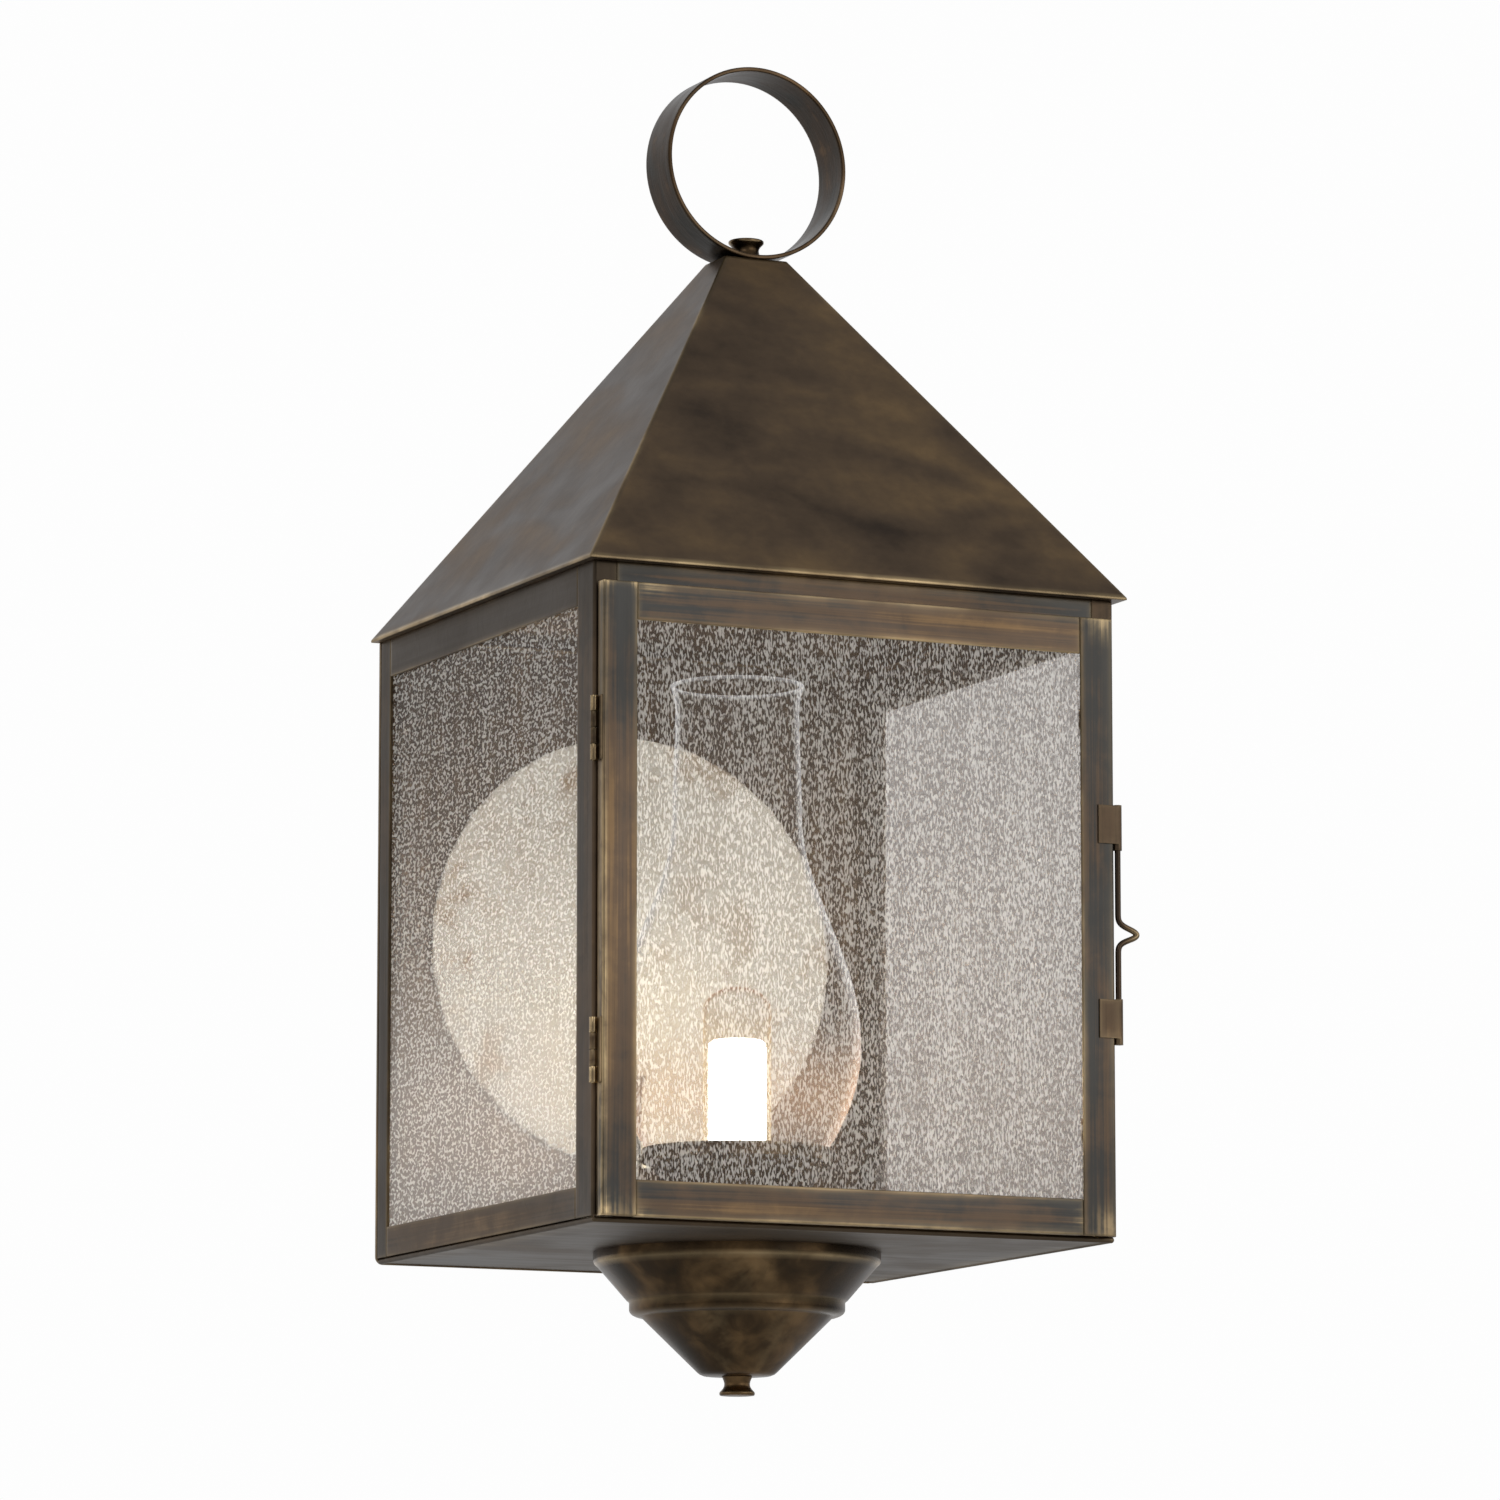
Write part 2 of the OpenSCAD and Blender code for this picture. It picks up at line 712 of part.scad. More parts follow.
// A lead's route from the wall, down behind the reflector, through the pan
// and up the nipple into the socket
function lead_route(side) = let (x = side * lead_x, inlet = mount_h - inlet_drop) [
    [x, 0, inlet],
    [x, -6.5, inlet],
    [x, -6.5, inlet - 18],
    [x, lead_back_y, inlet - 34],
    [x, lead_back_y, pan_top + lead_d / 2 + 3],
    [x, lead_back_y - 3, pan_top + lead_d / 2 + slip],
    [x, pan_hole_y + 2, pan_top + lead_d / 2 + slip],
    [x, pan_hole_y, pan_top - 1],
    [x, pan_hole_y - 1, -6],
    [x, pan_hole_y - 5, hickey_top - boss_h - 4],
    [x, -lamp_y + 5, hickey_top - boss_h - 5],
    [x, -lamp_y, hickey_top - boss_h - 2],
    [x, -lamp_y, socket_z + 3.5]
];

module lead_black() {
    color([0.05, 0.05, 0.05]) from_base()
        bent_wire(rounded(lead_route(-1), 4, 3), [1, 0, 0], lead_d / 2, 14);
}

module lead_white() {
    color([0.9, 0.9, 0.88]) from_base()
        bent_wire(rounded(lead_route(1), 4, 3), [1, 0, 0], lead_d / 2, 14);
}

ground_x = body_w / 2 - 35;
ground_z = 22;
ground_d = 4;

module ground_screw() {
    color([0.1, 0.45, 0.2]) translate([ground_x, 0, ground_z - mount_h]) rotate([90, 0, 0]) {
        cylinder(h = back_t, d = ground_d);
        translate([0, 0, back_t]) cylinder(h = 1, d = 9);
        translate([0, 0, back_t]) cylinder(h = 4, d = 7.5, $fn = 6);
    }
}

module lamp_nipple() {
    low = hickey_top - boss_h;
    high = socket_z + 4.5;
    color(bright_brass) on_lamp_axis() translate([0, 0, low]) difference() {
        cylinder(h = high - low, d = nipple_d);
        translate([0, 0, -1]) cylinder(h = high - low + 2, d = nipple_bore);
    }
}

module nipple_nuts() {
    color(bright_brass) on_lamp_axis() for (foot = [pan_top, pan_z - nut_h])
        translate([0, 0, foot]) difference() {
            cylinder(h = nut_h, d = nut_af / cos(30), $fn = 6);
            translate([0, 0, -1]) cylinder(h = nut_h + 2, d = nipple_d + 2 * run);
        }
}

// An open yoke: two bosses joined by a strap at each side
module hickey() {
    strap = 2;
    color(steel) on_lamp_axis() difference() {
        union() {
            translate([0, 0, hickey_top - boss_h]) cylinder(h = boss_h, r = boss_r);
            translate([0, 0, hickey_top - hickey_h]) cylinder(h = boss_h, r = boss_r);
            for (side = [-1, 1])
                translate([side * (boss_r - strap / 2) - strap / 2, -3, hickey_top - hickey_h])
                    cube([strap, 6, hickey_h]);
        }
        translate([0, 0, hickey_top - boss_h - 1])
            cylinder(h = boss_h + 2, d = nipple_d + 2 * run);
        translate([0, 0, hickey_top - hickey_h - 1])
            cylinder(h = boss_h + 2, d = cone_rod_d + 2 * run);
    }
}

module cone_rod() {
    high = hickey_top - hickey_h + boss_h;
    low = pan_z - cone_foot_z - foot_knob_h + 2.4;
    color(steel) on_lamp_axis() translate([0, 0, low]) cylinder(h = high - low, d = cone_rod_d);
}

// The cone's outside from its rim down to its foot, as radius and height
cone_outside = concat(
    [[cone_rim_d / 2, pan_z]],
    [for (i = [0 : 4]) let (turn = 60 * i / 4)
        [cone_rim_d / 2 - 1.6 + 1.6 * cos(turn), pan_z - cone_rim_h + 1 - 1.6 * sin(turn)]],
    [[cone_step_d / 2, pan_z - cone_step_z]],
    [for (i = [0 : 6]) let (turn = 90 * i / 6, soft = (cone_step_d - cone_low_d) / 2 * 0.8)
        [cone_step_d / 2 - soft + soft * cos(turn),
         pan_z - cone_step_z - cone_bead_h + soft * 0.7 - soft * 0.7 * sin(turn)]],
    [[cone_low_d / 2, pan_z - cone_step_z - cone_bead_h]],
    [[cone_foot_d / 2 + 0.6, pan_z - cone_foot_z + 1.2]],
    [[cone_foot_d / 2 - 0.6, pan_z - cone_foot_z + 0.2]],
    [[cone_rod_d / 2 + slip, pan_z - cone_foot_z]]
);

module cone() {
    wall = cone_t;
    inside = [for (p = cone_outside) [p[0] - 0.9 * wall, min(p[1] + 0.6 * wall, cone_outside[0][1])]];
    count = len(cone_outside);
    floor_z = pan_z - cone_foot_z + wall;
    color(brass) on_lamp_axis() turned(concat(
        cone_outside,
        [[cone_rod_d / 2 + slip, floor_z]],
        [[cone_foot_d / 2 - 0.8, floor_z + 0.3]],
        [for (i = [count - 3 : -1 : 0]) inside[i]]
    ));
}

module bottom_knob() {
    color(brass) on_lamp_axis() translate([0, 0, pan_z - cone_foot_z]) mirror([0, 0, 1])
        knob(foot_knob_d * 0.47, foot_knob_d * 0.4, foot_knob_d / 2, foot_knob_h,
             cone_rod_d / 2 + run, foot_knob_h - 2);
}

module chimney_cup() {
    foot_r = socket_d / 2 + 2.5;
    seat_r = chimney_foot_d / 2 - 0.5;
    lip_r = chimney_r((cup_lip_h - air) / chimney_h) + 2 * air;
    vents = 8;
    vent_d = 6;
    vent_z = cup_z + 15;
    color(brass) on_lamp_axis() difference() {
        turned([
            [nipple_d / 2 + slip, cup_z],
            [foot_r, cup_z],
            [seat_r + cup_t, chimney_z - cup_t],
            [lip_r + cup_t, chimney_z - cup_t],
            [lip_r + cup_t, chimney_z + cup_lip_h],
            [lip_r, chimney_z + cup_lip_h],
            [lip_r, chimney_z],
            [seat_r - 2.4, chimney_z],
            [seat_r - 2.4, chimney_z - cup_t],
            [seat_r - 1.2, chimney_z - cup_t],
            [foot_r - 1.2, cup_z + cup_t],
            [nipple_d / 2 + slip, cup_z + cup_t]
        ]);
        for (i = [0 : vents - 1])
            rotate([0, 0, 360 * (i + 0.5) / vents]) translate([socket_d / 2 + 1, 0, vent_z])
                rotate([0, 90, 0]) cylinder(h = 20, d = vent_d);
    }
}

module socket() {
    color([0.9, 0.89, 0.85]) on_lamp_axis() difference() {
        translate([0, 0, socket_z]) cylinder(h = socket_h, d = socket_d);
        translate([0, 0, socket_floor]) cylinder(h = socket_h, r = shell_r + run);
        translate([0, 0, socket_z - 1]) cylinder(h = 6, d = nipple_d + 2 * run);
    }
}

module screw_shell() {
    foot = socket_floor + 0.8;
    color(bright_brass) on_lamp_axis() translate([0, 0, foot]) difference() {
        cylinder(h = socket_top - foot - 0.5, r = shell_r);
        translate([0, 0, -1]) cylinder(h = socket_h + 2, r = bulb_base_d / 2 + run);
    }
}

module contact_tab() {
    color(bright_brass) on_lamp_axis() translate([0, 0, socket_floor]) {
        cylinder(h = 0.6, r = 5);
        cylinder(h = 1.4, r = 2.5);
    }
}

// Foot of one knuckle, counted from the hinge's own foot
function knuckle_z(foot, index) = foot + index * (knuckle_len + air);

module knuckle(foot, index) {
    translate([pin_x, pin_y, knuckle_z(foot, index)]) difference() {
        cylinder(h = knuckle_len, d = knuckle_d, $fn = 48);
        translate([0, 0, -1]) cylinder(h = knuckle_len + 2, d = pin_d + 2 * run, $fn = 48);
    }
}

// The leaf on the post lies flat on its front face and holds the outer knuckles
module hinge_leaves_post() {
    near_x = pin_x + knuckle_d / 2 + air;
    color(bright_brass) from_base() for (foot = [hinge_low, hinge_high]) {
        block([near_x, front_y - leaf_t, foot], [near_x + leaf_w, front_y, foot + hinge_len]);
        for (index = [0, knuckles - 1]) difference() {
            union() {
                knuckle(foot, index);
                block([pin_x, front_y - leaf_t, knuckle_z(foot, index)],
                      [near_x + 1, front_y, knuckle_z(foot, index) + knuckle_len]);
            }
            translate([pin_x, pin_y, foot - 1])
                cylinder(h = hinge_len + 2, d = pin_d + 2 * run, $fn = 48);
        }
    }
}

module hinge_pins() {
    color(bright_brass) from_base() for (foot = [hinge_low, hinge_high])
        translate([pin_x, pin_y, foot - 0.3]) cylinder(h = hinge_len + 0.6, d = pin_d, $fn = 48);
}

// The leaf on the door lies on its folded edge and holds the middle knuckles
module hinge_leaves_door() {
    near_y = pin_y - knuckle_d / 2 - air;
    far_y = door_face + 0.6;
    tongue_low = knuckle_z(0, 1);
    tongue_high = knuckle_z(0, knuckles - 2) + knuckle_len;
    color(brass) from_base() for (foot = [hinge_low, hinge_high]) difference() {
        union() {
            block([door_left - leaf_t, far_y, foot], [door_left, near_y, foot + hinge_len]);
            block([door_left - leaf_t, near_y - 0.5, foot + tongue_low],
                  [door_left, pin_y, foot + tongue_high]);
            for (index = [1 : knuckles - 2]) knuckle(foot, index);
        }
        translate([pin_x, pin_y, foot - 1])
            cylinder(h = hinge_len + 2, d = pin_d + 2 * run, $fn = 48);
    }
}

module stile_left() {
    color(brass) from_base() translate([door_left, door_face, door_foot])
        linear_extrude(door_h) angle_outline(stile_w, door_depth, door_t, 0.95 * door_t);
}

module stile_right() {
    color(brass) from_base() translate([door_right, door_face, door_foot]) mirror([1, 0, 0])
        linear_extrude(door_h) angle_outline(stile_w, door_depth, door_t, 0.95 * door_t);
}

module door_rail_top() {
    color(brass) from_base() {
        block([glass_left, rail_face, glass_high], [glass_right, rail_face + door_t, door_top]);
        block([glass_left, rail_face, door_top - door_t], [glass_right, door_back, door_top]);
    }
}

module door_rail_bottom() {
    color(brass) from_base() {
        block([glass_left, rail_face, door_foot], [glass_right, rail_face + door_t, glass_low]);
        block([glass_left, rail_face, door_foot], [glass_right, door_back, door_foot + door_t]);
    }
}

door_pane_t = min(pane_t, door_depth - rail_recess - door_t - clip_t - air / 2);

module door_pane() {
    color(clear_glass) from_base()
        block([glass_left - door_lap, door_pane_y, glass_low - door_lap],
              [glass_right + door_lap, door_pane_y + door_pane_t, glass_high + door_lap]);
}

module door_pane_clips() {
    lip_y = door_pane_y + door_pane_t;
    wall_y = door_face + door_t;
    color(brass) from_base() for (height = [glass_low + 20, glass_high - 20 - clip_h]) {
        edge_left = door_left + door_t;
        edge_right = door_right - door_t;
        block([edge_left, wall_y, height], [edge_left + clip_t, lip_y + clip_t, height + clip_h]);
        block([edge_left, lip_y, height],
              [glass_left - 1.4, lip_y + clip_t, height + clip_h]);
        block([edge_right - clip_t, wall_y, height],
              [edge_right, lip_y + clip_t, height + clip_h]);
        block([glass_right + 1.4, lip_y, height],
              [edge_right, lip_y + clip_t, height + clip_h]);
    }
}

// A plate on the stile whose end is curled into a barrel round the latch wire
module latch_tab(foot, closed_low) {
    barrel_low = foot - barrel_drop;
    barrel_high = foot + tab_h + 0.3;
    cap = 1;
    bore_low = closed_low ? barrel_low + cap : barrel_low - 1;
    bore_high = closed_low ? barrel_high + 1 : barrel_high - cap;
    color(brass) from_base() difference() {
        union() {
            block([door_right - tab_w, door_face - tab_t, foot],
                  [latch_x, door_face, foot + tab_h]);
            translate([latch_x, latch_y, barrel_low])
                cylinder(h = barrel_high - barrel_low, d = barrel_d);
        }
        translate([latch_x, latch_y, bore_low])
            cylinder(h = bore_high - bore_low, d = latch_wire_d + 2 * run);
    }
}

module latch_tab_upper() {
    latch_tab(tab_high, false);
}

module latch_tab_lower() {
    latch_tab(tab_low, true);
}

// The wire's route: straight in both barrels, with a pointed kink between them
module latch_wire() {
    low = tab_low - barrel_drop + 1 + slip;
    high = tab_high + tab_h + 0.3 - 1 - slip;
    tip = kink_reach;
    limb = [[0, kink_half], [0.1 * tip, 0.72 * kink_half], [0.3 * tip, 0.52 * kink_half],
            [0.86 * tip, 0.2 * kink_half]];
    upper = [for (p = limb) [p[0], 0, kink_h + p[1]]];
    lower = [for (i = [len(limb) - 1 : -1 : 0]) [limb[i][0], 0, kink_h - limb[i][1]]];
    stub = kink_half + 2;
    route = concat([[0, 0, kink_h + stub]], upper, [[tip, 0, kink_h]], lower,
                   [[0, 0, kink_h - stub]]);
    color([0.2, 0.17, 0.14]) translate([latch_x, latch_y, -mount_h]) {
        translate([0, 0, low]) cylinder(h = kink_h - stub + 0.5 - low, d = latch_wire_d);
        translate([0, 0, kink_h + stub - 0.5])
            cylinder(h = high - kink_h - stub + 0.5, d = latch_wire_d);
        bent_wire(rounded(route, 1, 3), [0, 1, 0], latch_wire_d / 2 - 0.01, 20);
    }
}

// Outer radius of the chimney at a share u of its height
belly_u = belly_h / chimney_h;
function chimney_r(u) =
    u < belly_u ? chimney_foot_d / 2 + (chimney_belly_d - chimney_foot_d) / 2
            * sin(90 * pow(u / belly_u, 0.9))
    : u < 0.72 ? blend(chimney_belly_d / 2, chimney_neck_d / 2 + 1,
            pow((u - belly_u) / (0.72 - belly_u), 1.08))
    : u < 0.94 ? blend(chimney_neck_d / 2 + 1, chimney_neck_d / 2, (u - 0.72) / 0.22)
    : chimney_neck_d / 2 + (chimney_rim_d - chimney_neck_d) / 2 * pow((u - 0.94) / 0.06, 2);

// The chimney between two shares of its height; its two pieces meet face to face
chimney_split = 1 - chimney_upper_h / chimney_h;
module chimney_glass(from, to, steps) {
    rise = [for (i = [0 : steps]) from + (to - from) * i / steps];
    outside = [for (u = rise) [chimney_r(u), chimney_h * u]];
    inside = [for (i = [steps : -1 : 0]) [chimney_r(rise[i]) - chimney_t, chimney_h * rise[i]]];
    color(clear_glass) on_lamp_axis() translate([0, 0, chimney_z + air])
        turned(concat(outside, inside));
}

module chimney_bowl() {
    chimney_glass(0, chimney_split, 30);
}

module chimney_neck() {
    chimney_glass(chimney_split, 1, 20);
}

module bulb_base() {
    color(bright_brass) on_lamp_axis() {
        translate([0, 0, base_z + 1.6]) cylinder(h = bulb_z - base_z - 1.6, d = bulb_base_d);
        translate([0, 0, base_z]) cylinder(h = 2, d1 = 9, d2 = 18);
    }
}

module bulb_glass() {
    wall = 0.8;
    r = bulb_d / 2;
    steps = 10;
    function cap(radius, top) = [for (i = [0 : steps]) let (turn = 90 * i / steps)
        [radius * cos(turn), top - radius * 0.7 + radius * 0.7 * sin(turn)]];
    top = bulb_z + bulb_glass_h;
    inner = cap(r - wall, top - wall);
    color(clear_glass) on_lamp_axis() turned(concat(
        [[0, bulb_z], [r, bulb_z]], cap(r, top),
        [for (i = [steps : -1 : 0]) inner[i]],
        [[r - wall, bulb_z + wall], [0, bulb_z + wall]]
    ));
}

module bulb_sleeve() {
    color([1, 0.95, 0.8]) on_lamp_axis() translate([0, 0, bulb_z + 0.8])
        cylinder(h = glow_h, d = bulb_d - 2.4);
}

back_plate();
post_front_left();
post_front_right();
post_rear_left();
post_rear_right();
header_rail();
sill_rail();
top_rail_left();
top_rail_right();
bottom_rail_left();
bottom_rail_right();
floor_pan();
roof();
ring();
top_knob();
ring_bolt();
pane_left();
pane_right();
side_pane_clips();
reflector();
reflector_standoff();
reflector_screw();
wire_bushing();
lead_black();
lead_white();
ground_screw();
lamp_nipple();
nipple_nuts();
hickey();
cone_rod();
cone();
bottom_knob();
chimney_cup();
socket();
screw_shell();
contact_tab();
hinge_leaves_post();
hinge_pins();
stile_left();
stile_right();
door_rail_top();
door_rail_bottom();
door_pane();
door_pane_clips();
hinge_leaves_door();
latch_tab_upper();
latch_tab_lower();
latch_wire();
chimney_bowl();
chimney_neck();
bulb_base();
bulb_glass();
bulb_sleeve();
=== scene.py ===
"""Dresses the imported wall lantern: worn brass sheet, seeded glass, lamp, studio and camera."""

from __future__ import annotations

import json
import logging
import math
from dataclasses import dataclass, field
from enum import Enum
from typing import Callable, Sequence

import bmesh
import bpy
import numpy as np
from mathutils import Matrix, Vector

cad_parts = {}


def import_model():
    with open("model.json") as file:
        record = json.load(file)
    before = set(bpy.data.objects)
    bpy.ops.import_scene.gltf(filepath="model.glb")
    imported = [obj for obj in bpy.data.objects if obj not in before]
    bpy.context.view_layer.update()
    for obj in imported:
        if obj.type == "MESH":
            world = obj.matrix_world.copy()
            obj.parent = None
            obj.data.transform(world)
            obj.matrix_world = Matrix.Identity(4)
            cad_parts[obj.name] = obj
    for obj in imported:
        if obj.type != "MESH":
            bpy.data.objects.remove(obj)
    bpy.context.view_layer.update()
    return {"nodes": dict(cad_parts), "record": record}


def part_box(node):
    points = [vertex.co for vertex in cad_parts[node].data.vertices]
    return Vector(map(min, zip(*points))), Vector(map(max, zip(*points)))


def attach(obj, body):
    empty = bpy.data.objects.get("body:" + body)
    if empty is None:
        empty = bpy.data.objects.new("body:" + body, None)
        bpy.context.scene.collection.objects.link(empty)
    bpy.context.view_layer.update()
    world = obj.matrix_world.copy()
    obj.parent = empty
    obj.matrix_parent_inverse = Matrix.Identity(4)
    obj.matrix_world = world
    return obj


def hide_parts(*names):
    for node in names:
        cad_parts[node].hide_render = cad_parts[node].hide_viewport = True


log = logging.getLogger("lantern")

MM = 0.001
MOUNT_H = 124.0  # the mount's height above the cage's bottom edge, in mm
LAMP_Y = -99.0  # the lamp's axis, in mm
TURN = 2 * np.pi

Array = np.ndarray
Pair = tuple[float, float]
Triple = tuple[float, float, float]
Colour = Triple
Mark = Callable[[Array], Array]


def frame_z(height: float | Array) -> float | Array:
    """Returns the frame's z in metres for a height in mm above the cage's bottom edge."""
    return (height - MOUNT_H) * MM


def smooth_step(u: float | Array) -> float | Array:
    """Returns a blend that is level at 0 and at 1, as the CAD source has it."""
    return (1 - np.cos(np.pi * u)) / 2


def bell(value: Array, middle: float, reach: float) -> Array:
    """Returns a bell curve: 1 at the middle, and 1/e at the reach to either side."""
    return np.exp(-(((value - middle) / reach) ** 2))


class Finish(Enum):
    """The finishes of the lantern's pieces, by material name."""

    STILE = "brass_grain_up"
    RAIL = "brass_grain_across"
    POST = "brass_post"
    CAGE = "brass_cage"
    ROOF = "brass_roof"
    SPUN = "brass_spun"
    RING = "brass_ring"
    RUBBED = "brass_rubbed"
    MACHINED = "brass_machined"
    WIRE = "wire_dark"
    PLATE = "brass_inside"
    PAN = "brass_pan"
    PANE = "seeded_glass"
    SIDE_PANE = "seeded_glass_side"
    CHIMNEY = "chimney_glass"
    BULB = "bulb_glass"
    GLOW = "glowing_sleeve"
    REFLECTOR = "reflector_cream"
    PORCELAIN = "porcelain"
    STEEL = "plated_steel"
    RUBBER = "rubber_black"
    WHITE_LEAD = "lead_white_sleeve"
    GREEN = "ground_green"


class Signal:
    """A value or shader that a node gives. Sums and products of it add math nodes."""

    def __init__(self, nodes: Nodes, socket: bpy.types.NodeSocket) -> None:
        """Keeps the nodes it belongs to, and its socket."""
        self.nodes, self.socket = nodes, socket

    def __add__(self, other: Signal | float) -> Signal:
        """Returns the sum."""
        return self.nodes.math("ADD", self, other)

    def __sub__(self, other: Signal | float) -> Signal:
        """Returns the difference."""
        return self.nodes.math("SUBTRACT", self, other)

    def __rsub__(self, other: float) -> Signal:
        """Returns a number less this value."""
        return self.nodes.math("SUBTRACT", other, self)

    def __mul__(self, other: Signal | float) -> Signal:
        """Returns the product."""
        return self.nodes.math("MULTIPLY", self, other)

    def remap(self, low: float, high: float, to_low: float = 0.0, to_high: float = 1.0,
              kind: str = "SMOOTHSTEP") -> Signal:
        """Maps the value from one range to another, and holds it there.

        Args:
            low: the first range's start.
            high: its end.
            to_low: the second range's start.
            to_high: its end.
            kind: how the map runs between its ends.

        Returns:
            The mapped value.
        """
        return self.nodes.take("MapRange", interpolation_type=kind, Value=self, From_Min=low,
                               From_Max=high, To_Min=to_low, To_Max=to_high)


class Nodes:
    """The nodes of a material or of the world, in the making."""

    def __init__(self, owner: bpy.types.Material | bpy.types.World, output: str) -> None:
        """Empties the owner's nodes and adds its output.

        Args:
            owner: the material or world.
            output: the kind of its output node.
        """
        owner.use_nodes = True
        self.tree = owner.node_tree
        self.tree.nodes.clear()
        self.end = self.node(output)

    def feed(self, socket: bpy.types.NodeSocket, value: object) -> None:
        """Links a signal to a socket, or sets the socket's own value.

        Args:
            socket: the socket.
            value: a signal, or a constant; a colour may be given without its fourth number.
        """
        if isinstance(value, Signal):
            self.tree.links.new(value.socket, socket)
        elif value is not None:
            socket.default_value = (*value, 1.0) if socket.type == "RGBA" else value

    def node(self, kind: str, **values: object) -> bpy.types.Node:
        """Adds a node.

        Args:
            kind: Blender's name of its type, without ShaderNode.
            **values: its settings and inputs, with _ for a space, or i and an input's number.

        Returns:
            The new node.
        """
        made = self.tree.nodes.new("ShaderNode" + kind)
        for key, value in values.items():
            if hasattr(made, key) and key not in made.inputs:
                setattr(made, key, value)
            elif key[0] == "i" and key[1:].isdigit():
                self.feed(made.inputs[int(key[1:])], value)
            else:
                self.feed(made.inputs[key.replace("_", " ")], value)
        return made

    def take(self, kind: str, output: str | int = 0, **values: object) -> Signal:
        """Adds a node and returns one of its outputs."""
        return Signal(self, self.node(kind, **values).outputs[output])

    def light_path(self, *rays: str) -> list[Signal]:
        """Returns whether a ray is of each kind."""
        outputs = self.node("LightPath").outputs
        return [Signal(self, outputs[f"Is {ray} Ray"]) for ray in rays]

    def noise(self, scale: Sequence[float], detail: float = 3.0, rough: float = 0.55,
              warp: float = 0.0) -> Signal:
        """Adds noise on the object's own coordinates.

        Args:
            scale: how many grains a metre holds along X, Y and Z.
            detail: how many finer layers it has.
            rough: how strong they are.
            warp: how much the noise bends itself.

        Returns:
            The noise, about 0.5.
        """
        place = self.take("TexCoord", "Object")
        scaled = self.take("Mapping", Vector=place, Scale=tuple(scale))
        return self.take("TexNoise", "Fac", Vector=scaled, Scale=1.0, Detail=detail,
                         Roughness=rough, Distortion=warp)

    def math(self, operation: str, a: object, b: object, clamp: bool = False) -> Signal:
        """Returns the result of a math node."""
        return self.take("Math", operation=operation, use_clamp=clamp, i0=a, i1=b)

    def mix(self, share: Signal, a: object, b: object) -> Signal:
        """Returns a blend of two colours."""
        return self.take("Mix", 2, data_type="RGBA", i0=share, i6=a, i7=b)

    def attribute(self, name: str) -> Signal:
        """Returns a number stored on the mesh's points."""
        return self.take("Attribute", "Fac", attribute_name=name)

    def bump(self, height: Signal, strength: float, distance: float,
             normal: Signal | None = None) -> Signal:
        """Returns a normal bent by a height."""
        return self.take("Bump", Height=height, Strength=strength, Distance=distance, Normal=normal)

    def show(self, shader: Signal) -> None:
        """Makes a shader the one that is seen."""
        self.feed(self.end.inputs["Surface"], shader)


class Look:
    """How a finish looks."""

    def shade(self, s: Nodes) -> Signal:
        """Returns the finish's shader."""
        raise NotImplementedError

    def material(self, name: str) -> bpy.types.Material:
        """Makes the finish's material.

        Args:
            name: the material's name.

        Returns:
            The material.
        """
        made = bpy.data.materials.new(name)
        nodes = Nodes(made, "OutputMaterial")
        nodes.show(self.shade(nodes))
        return made


